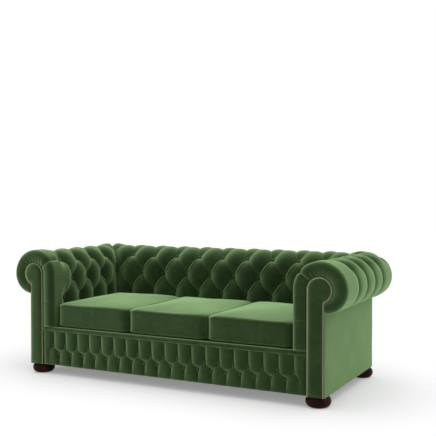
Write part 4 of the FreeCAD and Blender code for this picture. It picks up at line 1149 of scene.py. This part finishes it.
# Feet: turned buns in hardwood, stained and polished as dark mahogany, each screwed by a stud into a zinc
# plated steel plate under a post.
MAHOGANY_DARK = (22, 5, 4)
MAHOGANY_RED = (50, 12, 9)
mahogany = Finish("mahogany_polish", {
    "Coat Weight": 0.02, "Coat Roughness": 0.15, "Specular IOR Level": 0.06})
streaks = mahogany.noise(30, 5, mahogany.stretched((1, 1, 0.12)))
stain = mahogany.spread(streaks, 0.38, 0.62)
dress(mahogany.wear(
    base_color=mahogany.mix(stain, shade(*MAHOGANY_DARK), shade(*MAHOGANY_RED)),
    roughness=0.36 + streaks * 0.2,
    normal=mahogany.bump(streaks, 0.0002)), feet)
dress(zinc_plate, ["foot_plates", "foot_studs", "foot_plate_screws"])

# Floor, lamps and camera: a plain pale floor under two soft lamps and an even white sky, and the camera where
# the photograph was taken.
FLOOR_SIZE = 40
FLOOR_WHITE = (250, 250, 251)
FLOOR_GLOW = 0.25
floor = primitive("floor", bpy.ops.mesh.primitive_plane_add, size=FLOOR_SIZE)
ground = Finish("pale_floor", {"Roughness": 0.9, "Specular IOR Level": 0.0})
mottle = ground.mix(ground.noise(0.6, 1), shade(*FLOOR_WHITE), shade(255, 255, 255))
floor.data.materials.append(ground.wear(base_color=mottle))


def seen_rays(tree):
    """1 for what the camera sees, straight or in metal or glass, and 0 for the light on the object."""
    camera_ray, glossy_ray, glass_ray = [
        tree.node("LightPath", output=f"Is {kind} Ray") for kind in ("Camera", "Glossy", "Transmission")]
    clamped = {"operation": "ADD", "use_clamp": True}
    return tree.node("Math", clamped, {0: camera_ray + glossy_ray, 1: glass_ray})


glow = ground.node("Emission", {}, {"Color": (1, 1, 1, 1), "Strength": 1.0})
ground.blend(seen_rays(ground) * FLOOR_GLOW, glow)

WORLD_LIGHT = 0.78
world = bpy.data.worlds.new("studio")
bpy.context.scene.world = world
world.use_nodes = True
sky = NodeTree(world.node_tree)
background = world.node_tree.nodes["Background"]
background.inputs["Color"].default_value = (1, 1, 1, 1)
sky.feed(background.inputs["Strength"], WORLD_LIGHT + seen_rays(sky) * (1 - WORLD_LIGHT))


def lamp(name, toward, soft, strength):
    """A distant lamp that shines toward a direction, soft by an angle in degrees."""
    made = bpy.data.lights.new(name, "SUN")
    made.angle = math.radians(soft)
    made.energy = strength
    holder = bpy.data.objects.new(name, made)
    holder.rotation_euler = Vector(toward).to_track_quat("-Z", "Y").to_euler()
    bpy.context.scene.collection.objects.link(holder)


lamp("key", toward=(-0.55, 0.1, -0.9), soft=60, strength=0.42)
lamp("overhead", toward=(0.15, -0.25, -1), soft=70, strength=0.72)
CAMERA_PLACE = (2.220, -4.1305, 1.058)
CAMERA_YAW = 27.22
CAMERA_PITCH = 1.54
CAMERA_LENS = 64.4
camera = bpy.data.cameras.new("camera")
camera.lens = CAMERA_LENS
holder = bpy.data.objects.new("camera", camera)
holder.location = CAMERA_PLACE
holder.rotation_euler = Euler((math.radians(90 - CAMERA_PITCH), 0, math.radians(CAMERA_YAW)))
bpy.context.scene.collection.objects.link(holder)
bpy.context.scene.camera = holder
bpy.context.scene.view_settings.view_transform = "Standard"
